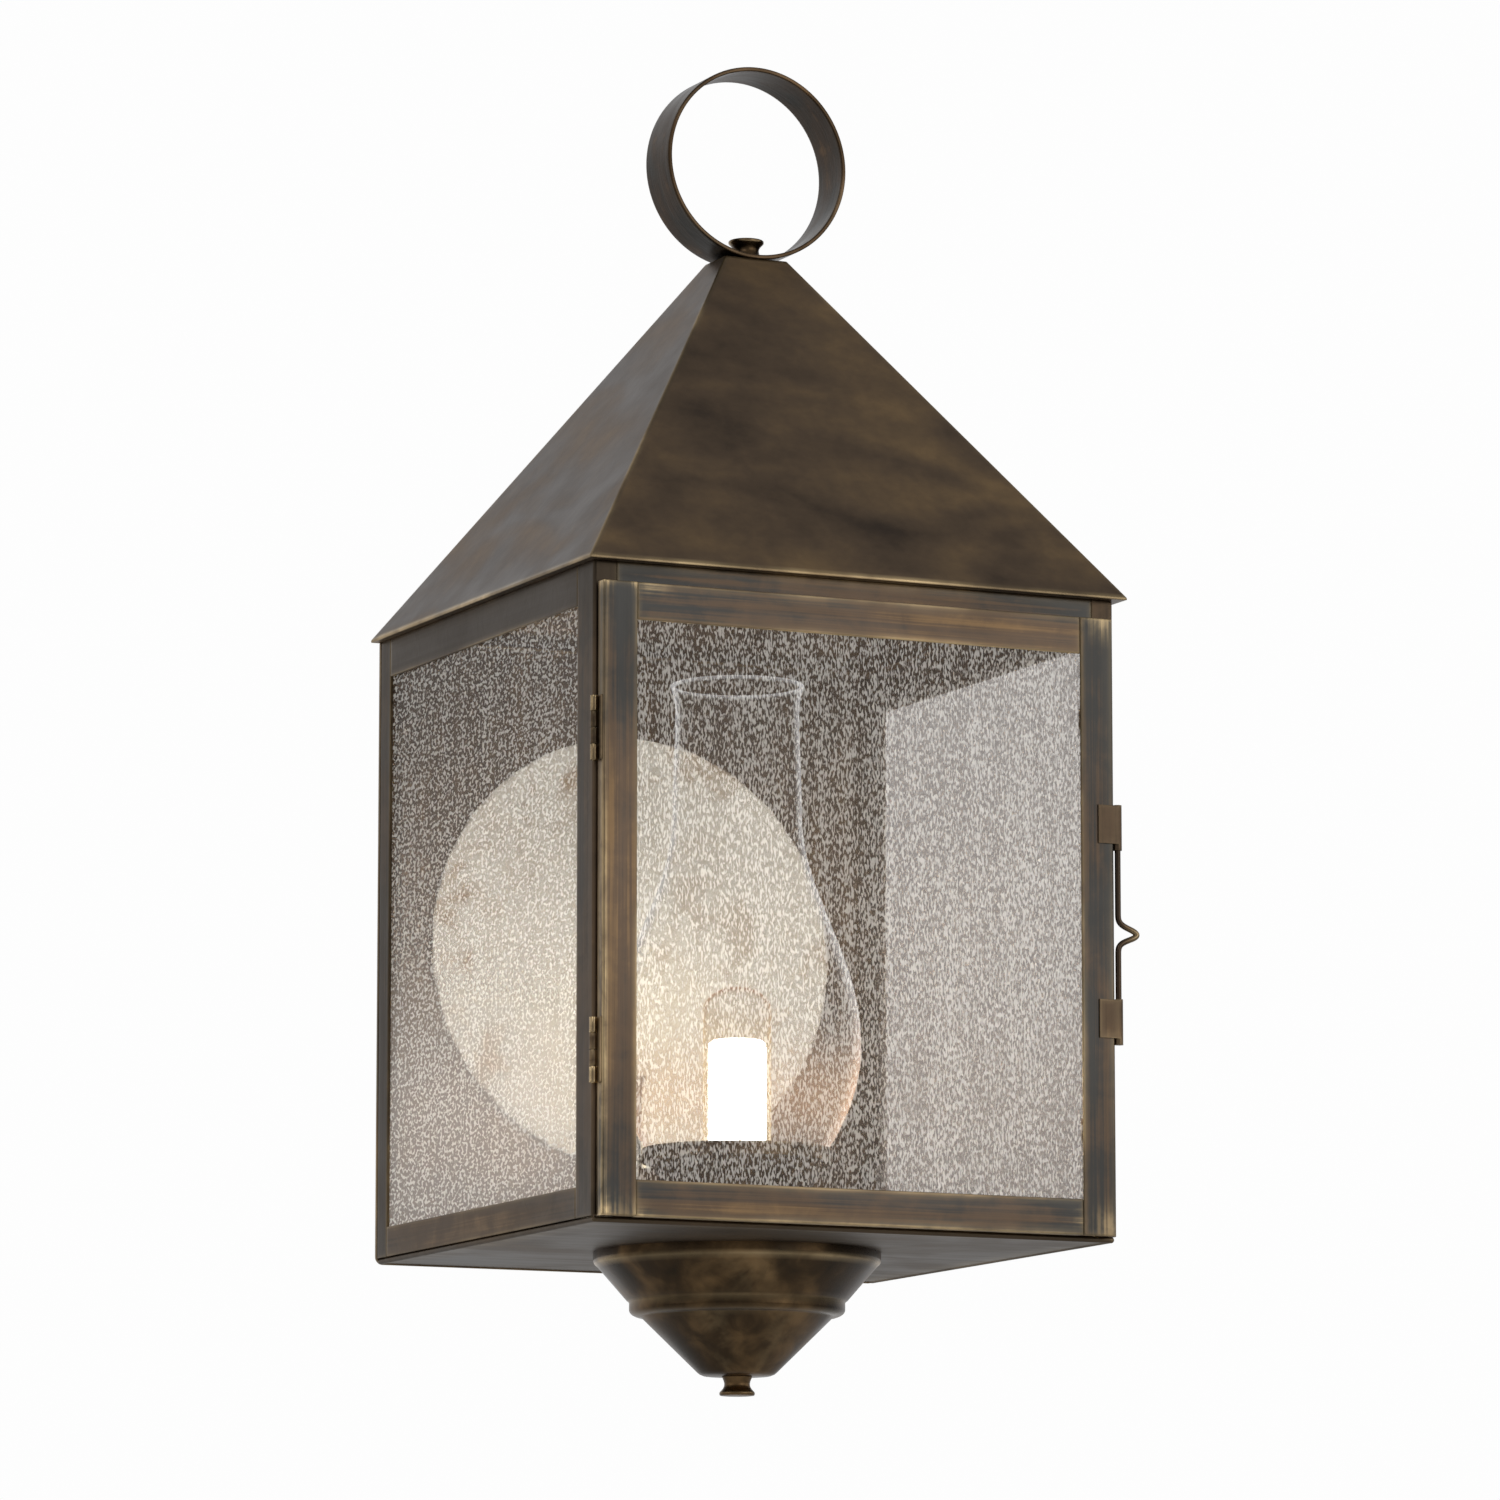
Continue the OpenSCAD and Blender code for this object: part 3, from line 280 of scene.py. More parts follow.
@dataclass(frozen=True)
class BrassLook(Look):
    """Brass under a brown patina, brushed, and worn bright at its edges.

    Attributes:
        dark: colour of the deepest patina.
        middle: colour of most of the patina.
        light: colour where the brass shows through.
        worn: colour of bare metal at the most rubbed edges.
        grain: how many streaks a metre holds along X, Y and Z.
        cloud: how many clouds of patina a metre holds along X, Y and Z.
        mottling: how many small mottles a metre holds.
        wear: how much of the edges is rubbed bright.
        rough: least and greatest roughness.
        blur: how soft the clouds are, from 0 to 1.
        shift: moves the whole finish towards the light tone.
        streak: how strongly the grain shows in the colour.
        mottle: how strongly small mottling shows in the colour.
        grain_depth: how deep the brushing is.
    """

    dark: Colour = (0.060, 0.058, 0.054)
    middle: Colour = (0.128, 0.090, 0.063)
    light: Colour = (0.250, 0.160, 0.085)
    worn: Colour = (0.66, 0.49, 0.27)
    grain: Sequence[float] = (900.0, 900.0, 12.0)
    cloud: Sequence[float] = (20.0, 20.0, 20.0)
    mottling: float = 85.0
    wear: float = 0.7
    rough: Pair = (0.32, 0.48)
    blur: float = 0.0
    shift: float = 0.0
    streak: float = 0.5
    mottle: float = 0.42
    grain_depth: float = 0.22

    def shade(self, s: Nodes) -> Signal:
        """Builds the patina from clouds, mottles and streaks, and wears it off at the edges.

        Args:
            s: the material's nodes.

        Returns:
            The shader.
        """
        cloud = s.noise(self.cloud, 3 - 1.6 * self.blur, 0.55, 0.6)
        mottle = s.noise((self.mottling,) * 3, 4, 0.6, 0.5)
        fine = s.noise(self.grain, 2, 0.6)
        broad = s.noise([g / 4.5 for g in self.grain], 2, 0.55)
        tone = cloud + mottle * self.mottle + broad * self.streak + fine * (0.7 * self.streak)
        # The mark tone shifts each piece's tone; on the posts it holds painted shade under the
        # eave.
        tone = tone + s.attribute("tone")
        centre = 0.5 + 0.5 * self.mottle + 0.85 * self.streak - self.shift
        low = tone.remap(centre - 0.30, centre + 0.04)
        high = tone.remap(centre + 0.02 - 0.08 * self.blur, centre + 0.34 + 0.06 * self.blur)
        colour = s.mix(high, s.mix(low, self.dark, self.middle), self.light)

        # The mark rub holds rubbing, and on some pieces painted highlights.
        rub = s.attribute("rub")
        broken = s.noise((55, 55, 55), 3, 0.6).remap(0.30, 0.62, 0.45, 1.0)
        edge = s.attribute("edge") * broken * self.wear
        worn = s.math("ADD", edge, rub * (fine + mottle * 0.6).remap(0.62, 0.98), clamp=True)
        patches = s.noise((16, 16, 16), 2, 0.5).remap(0.42, 0.62)
        bare = s.math("ADD", patches, rub, clamp=True)
        dull = tuple(0.40 * c for c in self.worn)
        colour = s.mix(worn, colour, s.mix(bare, dull, self.worn))

        rough = (cloud + broad * 0.5).remap(0.5, 1.0, *self.rough) - worn * 0.08
        swell = s.bump(s.noise((9, 9, 9), 1, 0.4), 0.3, 0.005)
        skin = s.bump(mottle, 0.1, 0.001, swell)
        brushed = s.bump(fine + broad * 0.6, self.grain_depth, 0.0002, skin)
        return s.take("BsdfPrincipled", Base_Color=colour, Roughness=rough, Normal=brushed,
                      Metallic=1.0)


@dataclass(frozen=True)
class PlainLook(Look):
    """A fine mottling, for small or hidden pieces.

    Attributes:
        colour: its colour.
        rough: its mean roughness.
        metal: its share of metal.
        coat: the weight of a clear coat.
        grain: how many grains a metre holds.
    """

    colour: Colour
    rough: float
    metal: float = 0.0
    coat: float = 0.0
    grain: float = 400.0

    def shade(self, s: Nodes) -> Signal:
        """Mottles the colour with fine and broad noise.

        Args:
            s: the material's nodes.

        Returns:
            The shader.
        """
        fine = s.noise((self.grain,) * 3, 4)
        patch = s.noise((self.grain / 9,) * 3, 3)
        shadow = tuple(0.72 * c for c in self.colour)
        colour = s.mix((fine + patch).remap(0.7, 1.3), shadow, self.colour)
        rough = fine.remap(0.3, 0.7, self.rough * 0.85, self.rough * 1.15)
        return s.take("BsdfPrincipled", Base_Color=colour, Roughness=rough, Metallic=self.metal,
                      Normal=s.bump(fine, 0.15, 0.0003), Coat_Weight=self.coat)


@dataclass(frozen=True)
class PaneLook(Look):
    """Rippled glass: clear, with dense beads on its outer face that glow with painted light.

    The mark rub is 1 on the outer face. The mark edge lays painted scattered light on that face,
    lighter and denser, and tints the inner one.

    Attributes:
        grain: how many ripples a metre holds along X, Y and Z.
        fine: how strongly finer ripples break them up.
        start: the height of the ripple at which a bead begins.
        full: the height at which it is whole.
        gap: the colour between the beads.
        painted_scatter_gap: the gaps' colour under the painted scattered light.
        bead: the beads' colour.
        inner: what gaps and beads let through from behind.
        tint: what the inner face lets through where it is marked.
        cover: how much of the view the outer face hides.
        painted_scatter: how much more the outer face hides under the painted scattered light, at
            gaps and at beads.
        glow: how strongly the beads glow with painted light.
    """

    grain: Sequence[float]
    fine: float
    start: float
    full: float = 0.66
    gap: Colour = (0.054, 0.043, 0.035)
    painted_scatter_gap: Colour = (0.56, 0.52, 0.49)
    bead: Colour = (0.95, 0.91, 0.845)
    inner: tuple[Colour, Colour] = ((0.60, 0.43, 0.30), (0.95, 0.91, 0.85))
    tint: Colour = (0.73, 0.725, 0.73)
    cover: float = 0.505
    painted_scatter: Pair = (0.16, 0.38)
    glow: float = 0.30

    def shade(self, s: Nodes) -> Signal:
        """Lays a beaded skin over clear glass.

        Args:
            s: the material's nodes.

        Returns:
            The shader.
        """
        outer, mark = s.attribute("rub"), s.attribute("edge")
        ripple = s.noise(self.grain, 0, 0.5, 0.5)
        small = s.noise([2.3 * g for g in self.grain], 0, 0.5) - 0.5
        column = s.noise((230, 230, 9), 1, 0.5) - 0.5
        ripple = ripple + small * self.fine + column * 0.22
        bead = ripple.remap(self.start, self.full)
        # Where the mark edge is set on the outer face, the gaps lighten and the cover grows:
        # painted scattered light.
        colour = s.mix(bead, s.mix(mark * outer, self.gap, self.painted_scatter_gap), self.bead)
        cover = (mark * bead.remap(0.0, 1.0, *self.painted_scatter) + self.cover) * outer
        # The beads' emission is painted light.
        skin = s.take("BsdfPrincipled", Base_Color=colour, Roughness=0.16,
                      Normal=s.bump(ripple, 0.5, 0.0006), Emission_Color=colour,
                      Emission_Strength=self.glow)
        through = s.take("BsdfTranslucent", Color=s.mix(bead, *self.inner))
        body = s.take("MixShader", i0=0.35, i1=skin, i2=through)
        tint = s.mix(mark * (1.0 - outer), (1.0, 1.0, 1.0), self.tint)
        return s.take("MixShader", i0=cover, i1=s.take("BsdfTransparent", Color=tint), i2=body)


@dataclass(frozen=True)
class GlassLook(Look):
    """Thin clear glass: see-through when faced; at a slant, at its lips and where marked, a skin
    glowing with painted light covers it.

    Attributes:
        painted_haze: the painted light that the glass's skin gives.
        rim: the same where the mark rub is 1, a painted glow of the lamp.
        slant: where the cover begins and is full, from 0, faced, to 1, at a grazing view.
        most: the cover at a grazing view.
    """

    painted_haze: Colour
    rim: Colour
    slant: Pair
    most: float

    def shade(self, s: Nodes) -> Signal:
        """Lays a faint skin over clear glass, glowing with painted light.

        Args:
            s: the material's nodes.

        Returns:
            The shader.
        """
        rub, facing = s.attribute("rub"), s.take("LayerWeight", "Facing")
        cover = facing.remap(*self.slant, 0.010, self.most) + s.attribute("edge") * 0.35
        cover = s.math("ADD", cover, rub * 0.28, clamp=True)
        # The skin's emission is painted light: haze at a slant and on the lips, and a painted glow
        # of the lamp where the mark rub is set.
        skin = s.take("BsdfPrincipled", Base_Color=(0.05, 0.05, 0.05), Roughness=0.10,
                      Emission_Color=s.mix(rub, self.painted_haze, self.rim), Emission_Strength=1.0)
        return s.take("MixShader", i0=cover, i1=s.take("BsdfTransparent"), i2=skin)


@dataclass(frozen=True)
class ReflectorLook(Look):
    """The reflector's cream finish, with painted lamplight where the mark edge is 1.

    Attributes:
        cream: its darkest and lightest colour.
        bloom: the colour of its brown bloom, where the mark rub is 1.
        lamp: the colour of the painted lamplight nearest the lamp.
        glow: how strongly the painted lamplight shows.
    """

    cream: tuple[Colour, Colour] = ((0.76, 0.715, 0.60), (0.88, 0.85, 0.76))
    bloom: Colour = (0.40, 0.27, 0.15)
    lamp: Colour = (1.0, 0.84, 0.58)
    glow: float = 0.74

    def shade(self, s: Nodes) -> Signal:
        """Blooms the cream and adds painted lamplight.

        Args:
            s: the material's nodes.

        Returns:
            The shader.
        """
        edge = s.attribute("edge")
        bloom = s.noise((34, 34, 34), 4, 0.6, 0.8)
        cream = s.mix(s.noise((420, 420, 420), 3).remap(0.3, 0.7), *self.cream)
        colour = s.mix(bloom.remap(0.5, 0.68) * s.attribute("rub"), cream, self.bloom)
        # Painted lamplight: the cream's emission, warmer where the mark edge is near 1, close to
        # the lamp.
        lit = s.mix(edge, (0.0, 0.0, 0.0), s.mix(edge.remap(0.78, 1.0), colour, self.lamp))
        return s.take("BsdfPrincipled", Base_Color=colour,
                      Roughness=bloom.remap(0.3, 0.7, 0.45, 0.60),
                      Normal=s.bump(s.noise((45, 45, 45), 2), 0.2, 0.002),
                      Emission_Color=lit, Emission_Strength=self.glow)


@dataclass(frozen=True)
class GlowLook(Look):
    """The lit sleeve inside the bulb: two warm colours, and the light's strength."""

    warm: Colour = (1.0, 0.89, 0.70)
    hot: Colour = (1.0, 0.94, 0.82)
    strength: float = 30.0

    def shade(self, s: Nodes) -> Signal:
        """Mixes the two colours by noise.

        Args:
            s: the material's nodes.

        Returns:
            The shader.
        """
        core = s.noise((60, 60, 30), 2).remap(0.3, 0.7, 0.92, 1.0)
        colour = s.mix(core, self.warm, self.hot)
        return s.take("BsdfPrincipled", Base_Color=colour, Roughness=0.5, Emission_Color=colour,
                      Emission_Strength=self.strength)


@dataclass(frozen=True)
class FloorLook(Look):
    """The plain pale floor, lifted towards white where the camera sees it."""

    colour: Colour = (0.80, 0.80, 0.79)
    lift: float = 0.42

    def shade(self, s: Nodes) -> Signal:
        """Adds light that only the camera sees.

        Args:
            s: the material's nodes.

        Returns:
            The shader.
        """
        camera, = s.light_path("Camera")
        return s.take("BsdfPrincipled", Base_Color=self.colour, Roughness=0.9,
                      Emission_Color=(1.0, 1.0, 0.99), Emission_Strength=camera * self.lift)


ACROSS, DEEP = (12.0, 900.0, 900.0), (900.0, 12.0, 900.0)  # brushing along X and along Y
LOOKS: dict[Finish, Look] = {
    Finish.STILE: BrassLook(cloud=(26, 26, 9), shift=-0.03, streak=0.8),
    Finish.RAIL: BrassLook(grain=ACROSS, cloud=(9, 26, 40), shift=-0.01, streak=0.9),
    Finish.POST: BrassLook(
        cloud=(26, 26, 9), wear=0.22, shift=-0.02,
        dark=(0.050, 0.038, 0.027), middle=(0.108, 0.074, 0.048)),
    Finish.CAGE: BrassLook(
        grain=DEEP, cloud=(26, 9, 30), wear=0.3, shift=-0.02,
        dark=(0.047, 0.034, 0.023), middle=(0.104, 0.070, 0.044)),
    Finish.ROOF: BrassLook(
        grain=(170.0, 170.0, 260.0), cloud=(15, 15, 40), wear=0.9, blur=1.0, shift=0.02,
        streak=0.22, mottle=0.16, rough=(0.36, 0.50),
        dark=(0.060, 0.044, 0.033), middle=(0.138, 0.096, 0.062), light=(0.31, 0.205, 0.100)),
    Finish.SPUN: BrassLook(
        grain=(150.0, 150.0, 50.0), cloud=(40, 40, 22), wear=0.6, rough=(0.26, 0.40), blur=0.6,
        shift=0.04, streak=0.07, mottle=0.5, grain_depth=0.05,
        dark=(0.030, 0.023, 0.016), middle=(0.056, 0.036, 0.020), light=(0.20, 0.122, 0.056)),
    Finish.RING: BrassLook(
        grain=(60.0, 900.0, 60.0), cloud=(36, 70, 36), rough=(0.28, 0.40), shift=-0.10,
        streak=0.3, mottle=0.8, dark=(0.016, 0.012, 0.007), middle=(0.038, 0.022, 0.011),
        light=(0.13, 0.071, 0.029), worn=(0.34, 0.225, 0.13)),
    Finish.RUBBED: BrassLook(
        wear=0.9, rough=(0.22, 0.34), shift=0.12,
        middle=(0.26, 0.185, 0.105), light=(0.58, 0.44, 0.24)),
    Finish.MACHINED: BrassLook(
        wear=0.8, rough=(0.22, 0.34),
        dark=(0.22, 0.15, 0.07), middle=(0.42, 0.30, 0.14), light=(0.62, 0.46, 0.22)),
    Finish.WIRE: BrassLook(
        wear=0.9, rough=(0.24, 0.36), dark=(0.030, 0.026, 0.022), middle=(0.075, 0.052, 0.035)),
    Finish.PAN: BrassLook(
        grain=ACROSS, wear=0.3, rough=(0.40, 0.52), streak=0.06, mottle=0.09, grain_depth=0.06,
        dark=(0.056, 0.044, 0.032), middle=(0.089, 0.065, 0.043), light=(0.14, 0.098, 0.062)),
    Finish.PLATE: BrassLook(wear=0.3, rough=(0.40, 0.55), shift=0.05, dark=(0.064, 0.058, 0.051)),
    Finish.PANE: PaneLook((1420.0, 1420.0, 520.0), 0.28, 0.425),
    Finish.SIDE_PANE: PaneLook((1050.0, 520.0, 800.0), 0.20, 0.455),
    Finish.CHIMNEY: GlassLook((0.60, 0.61, 0.62), (1.05, 0.68, 0.44), (0.52, 0.86), 0.58),
    Finish.BULB: GlassLook((0.40, 0.13, 0.03), (1.1, 0.82, 0.42), (0.45, 0.95), 0.90),
    Finish.GLOW: GlowLook(),
    Finish.REFLECTOR: ReflectorLook(),
    Finish.PORCELAIN: PlainLook((0.80, 0.78, 0.72), 0.3, coat=0.5),
    Finish.STEEL: PlainLook((0.55, 0.55, 0.54), 0.35, metal=1.0),
    Finish.RUBBER: PlainLook((0.03, 0.03, 0.03), 0.5),
    Finish.WHITE_LEAD: PlainLook((0.78, 0.77, 0.73), 0.45),
    Finish.GREEN: PlainLook((0.05, 0.30, 0.12), 0.3, metal=0.6),
}


def store(mesh: bpy.types.Mesh, name: str, values: Array) -> None:
    """Stores a number for each point of a mesh."""
    data = mesh.attributes.new(name, "FLOAT", "POINT").data
    data.foreach_set("value", values.astype(np.float32))


@dataclass
class Skin:
    """A surface in the making: points in metres, faces of four points, and marks."""

    points: list[Array] = field(default_factory=list)
    faces: list[Array] = field(default_factory=list)
    marks: dict[str, list[Array]] = field(default_factory=lambda: {"edge": [], "rub": []})
    count: int = 0

    def grid(self, points: Array, closed_u: bool = False, closed_v: bool = False,
             edge: Array | float = 0.0, rub: Array | float = 0.0) -> None:
        """Adds a grid of points, with faces between neighbours.

        Args:
            points: rows by columns by three, in metres.
            closed_u: whether the last row joins the first.
            closed_v: whether the last column joins the first.
            edge: how near each point is to a worn edge, from 0 to 1; some glass and the reflector
                carry painted light in it.
            rub: how much each point is rubbed, from 0 to 1; some pieces carry painted highlights
                and painted glow in it.
        """
        rows, cols = points.shape[:2]
        index = np.arange(rows * cols).reshape(rows, cols) + self.count
        if closed_u:
            index = np.vstack([index, index[:1]])
        if closed_v:
            index = np.hstack([index, index[:, :1]])
        quads = np.stack([index[:-1, :-1], index[1:, :-1], index[1:, 1:], index[:-1, 1:]], -1)
        self.faces.append(quads.reshape(-1, 4))
        self.points.append(points.reshape(-1, 3))
        for name, value in (("edge", edge), ("rub", rub)):
            self.marks[name].append(np.broadcast_to(value, (rows, cols)).reshape(-1))
        self.count += rows * cols

    def revolve(self, profile: Array, centre: Sequence[float], steps: int,
                edge: Array | float = 0.0, rub: Array | float = 0.0) -> None:
        """Adds a profile turned about an upright axis.

        Args:
            profile: rows of radius and frame z, in metres.
            centre: the axis's x and y, in metres.
            steps: how many steps a turn has.
            edge: how near each row is to a worn edge; on glass, where a painted highlight lies.
            rub: how much each row is rubbed; on some pieces, painted highlights and painted glow.
        """
        rows = len(profile)
        turn = np.linspace(0, TURN, steps, endpoint=False)
        r, z = profile[:, :1], np.broadcast_to(profile[:, 1:2], (rows, steps))
        points = np.stack([centre[0] + r * np.cos(turn), centre[1] + r * np.sin(turn), z], -1)
        edge, rub = (np.reshape(mark, (rows, -1)) if np.ndim(mark) else mark
                     for mark in (edge, rub))
        self.grid(points, closed_v=True, edge=edge, rub=rub)

    def sweep(self, route: Array, radius: float, sides: int, edge: Array | float = 0.0) -> None:
        """Adds a round tube along a route, with rounded ends.

        Each ring's side is the last one's, less its part along the route, so that it doesn't
        twist.

        Args:
            route: the tube's middle line, in metres.
            radius: the tube's radius.
            sides: how many sides it has.
            edge: how worn each point of the route is.
        """
        way = np.gradient(route, axis=0)
        way /= np.linalg.norm(way, axis=1)[:, None]
        turn = np.linspace(0, TURN, sides, endpoint=False)[:, None]
        side, rings = np.cross(way[0], (0.3, 0.9, 0.1)), []
        for ahead in way:
            side = side - ahead * (side @ ahead)
            side /= np.linalg.norm(side)
            rings.append(np.cos(turn) * side + np.sin(turn) * np.cross(ahead, side))
        caps = np.linspace(0, np.pi / 2, 5)[:-1]
        start, end = ([route[k] + way[k] * out * 0.35 * radius * np.cos(c)
                       + radius * np.sin(c) * rings[k] for c in caps]
                      for k, out in ((0, -1), (-1, 1)))
        body = [here + radius * ring for here, ring in zip(route, rings)]
        if np.ndim(edge):
            edge = np.pad(edge, len(caps), mode="edge")[:, None]
        self.grid(np.array(start + body + end[::-1]), closed_v=True, edge=edge)

    def mesh(self, name: str) -> bpy.types.Mesh:
        """Makes the mesh.

        Args:
            name: the mesh's name.

        Returns:
            The mesh, smooth shaded, with its marks.
        """
        made = bpy.data.meshes.new(name)
        points, faces = np.concatenate(self.points), np.concatenate(self.faces)
        made.from_pydata(points.tolist(), [], faces.tolist())
        for key, values in self.marks.items():
            store(made, key, np.concatenate(values))
        made.validate()
        work = bmesh.new()
        work.from_mesh(made)
        bmesh.ops.remove_doubles(work, verts=work.verts, dist=1e-7)
        bmesh.ops.recalc_face_normals(work, faces=work.faces)
        work.to_mesh(made)
        work.free()
        made.shade_smooth()
        return made


def sharp_edges(work: bmesh.types.BMesh, degrees: float) -> list[bmesh.types.BMEdge]:
    """Returns the edges whose two faces meet at more than an angle."""
    return [e for e in work.edges
            if len(e.link_faces) == 2 and e.calc_face_angle(0) > math.radians(degrees)]


def cut(work: bmesh.types.BMesh, place: Vector, normal: Vector) -> None:
    """Cuts all faces of a mesh in the making along a plane."""
    parts = work.verts[:] + work.edges[:] + work.faces[:]
    bmesh.ops.bisect_plane(work, geom=parts, dist=1e-6, plane_co=place, plane_no=normal)


def round_edges(work: bmesh.types.BMesh, bevel: float, hip: float, margin: float) -> Array:
    """Rounds the sharp edges of a sheet, and the long slanted ones by more.

    Args:
        work: the sheet's mesh in the making.
        bevel: the radius of the edges, in mm.
        hip: the radius of the slanted ones, in mm, or 0.
        margin: how far from a rounded hip its faces are cut, in mm.

    Returns:
        The ends of the edges before they were rounded.
    """
    sharp = sharp_edges(work, 28)
    ends = np.array([[v.co[:] for v in e.verts] for e in sharp])
    borders = []
    if hip:
        slanted = [e for e in sharp
                   if min(e.calc_length(), abs(e.verts[0].co.z - e.verts[1].co.z)) > 0.05]
        borders = [(e.verts[0].co.copy(),
                    f.normal.cross(e.verts[1].co - e.verts[0].co).normalized(),
                    f.calc_center_median()) for e in slanted for f in e.link_faces]
        bmesh.ops.bevel(work, geom=slanted, offset=hip * MM, segments=3, profile=0.5,
                        affect="EDGES")
        sharp = sharp_edges(work, 40)
    bmesh.ops.bevel(work, geom=sharp, offset=bevel * MM, segments=2, profile=0.5,
                    affect="EDGES", clamp_overlap=True)
    for start, normal, inside in borders:
        inward = 1 if (inside - start).dot(normal) > 0 else -1
        cut(work, start + normal * (hip + margin) * MM * inward, normal)
    return ends


def slice_faces(work: bmesh.types.BMesh, cell: float, rows: Sequence[float], slim: float) -> None:
    """Cuts a sheet's faces small along each axis, so that they can carry marks.

    Args:
        work: the sheet's mesh in the making.
        cell: the size of the faces, in mm.
        rows: where finer rows run inside the borders, in mm.
        slim: the size up to which there are no such rows, in mm.
    """
    corners = np.array([v.co[:] for v in work.verts])
    for axis, (low, high) in enumerate(zip(corners.min(0), corners.max(0))):
        size = high - low
        places = [low + row * MM for row in rows] + [high - row * MM for row in rows]
        places = places if size > slim * MM else []
        steps = int(size / (cell * MM))
        places += [low + size * (i + 1) / (steps + 1) for i in range(steps)]
        normal = Vector([float(k == axis) for k in range(3)])
        for place in places:
            cut(work, normal * place, normal)


def edge_wear(points: Array, ends: Array, bevel: float, soft: float) -> Array:
    """Gives the wear of each point: exp(-d/soft), with its distance d from the nearest edge.

    Args:
        points: the points.
        ends: the two ends of each edge.
        bevel: the radius of the edges, in mm.
        soft: how far the wear reaches, in mm.

    Returns:
        The wear, from 0 to 1.
    """
    near = np.full(len(points), 1.0)
    for a, b in ends:
        share = np.clip((points - a) @ (b - a) / ((b - a) @ (b - a)), 0, 1)[:, None]
        near = np.minimum(near, np.linalg.norm(points - a - share * (b - a), axis=1))
    return np.exp(-np.maximum(near / MM - bevel * 0.5, 0) / soft)


def along(axis: int, places: Sequence[float], values: Sequence[float]) -> Mark:
    """Returns a mark that follows values at places along an axis, in mm from the bottom edge."""
    start = MOUNT_H if axis == 2 else 0.0
    return lambda points: np.interp(points[:, axis] / MM + start, places, values)


def below(axis: int, limit: float, mark: Mark) -> Mark:
    """Returns a mark that holds only below a place along an axis, in mm from the bottom edge."""
    end = (limit - (MOUNT_H if axis == 2 else 0.0)) * MM
    return lambda points: (points[:, axis] < end) * mark(points)


def level(value: float) -> Mark:
    """Returns a mark that is the same all over a piece."""
    return lambda points: np.full(len(points), value)


def rubbed(*spots: Sequence[float], also: Mark = level(0.0)) -> Mark:
    """Gives a mark of rubbed spots, seen from the front.

    A spot falls from its strength at the middle to nothing at its reach, by the power 1.5.

    Args:
        *spots: each spot's strength, x, height, reach in mm, and how tall it is for its width.
        also: a mark that is added to the spots, such as a painted highlight.

    Returns:
        The mark, from 0 to 1.
    """
    def mark(points: Array) -> Array:
        """Adds up the spots and the other mark.

        Args:
            points: the piece's points.

        Returns:
            The sum, held between 0 and 1.
        """
        total = also(points)
        for strength, x, height, reach, tall in spots:
            away = np.hypot(points[:, 0] - x * MM, (points[:, 2] - frame_z(height)) / tall)
            total = total + strength * np.clip(1 - away / (reach * MM), 0, 1) ** 1.5
        return np.clip(total, 0, 1)

    return mark


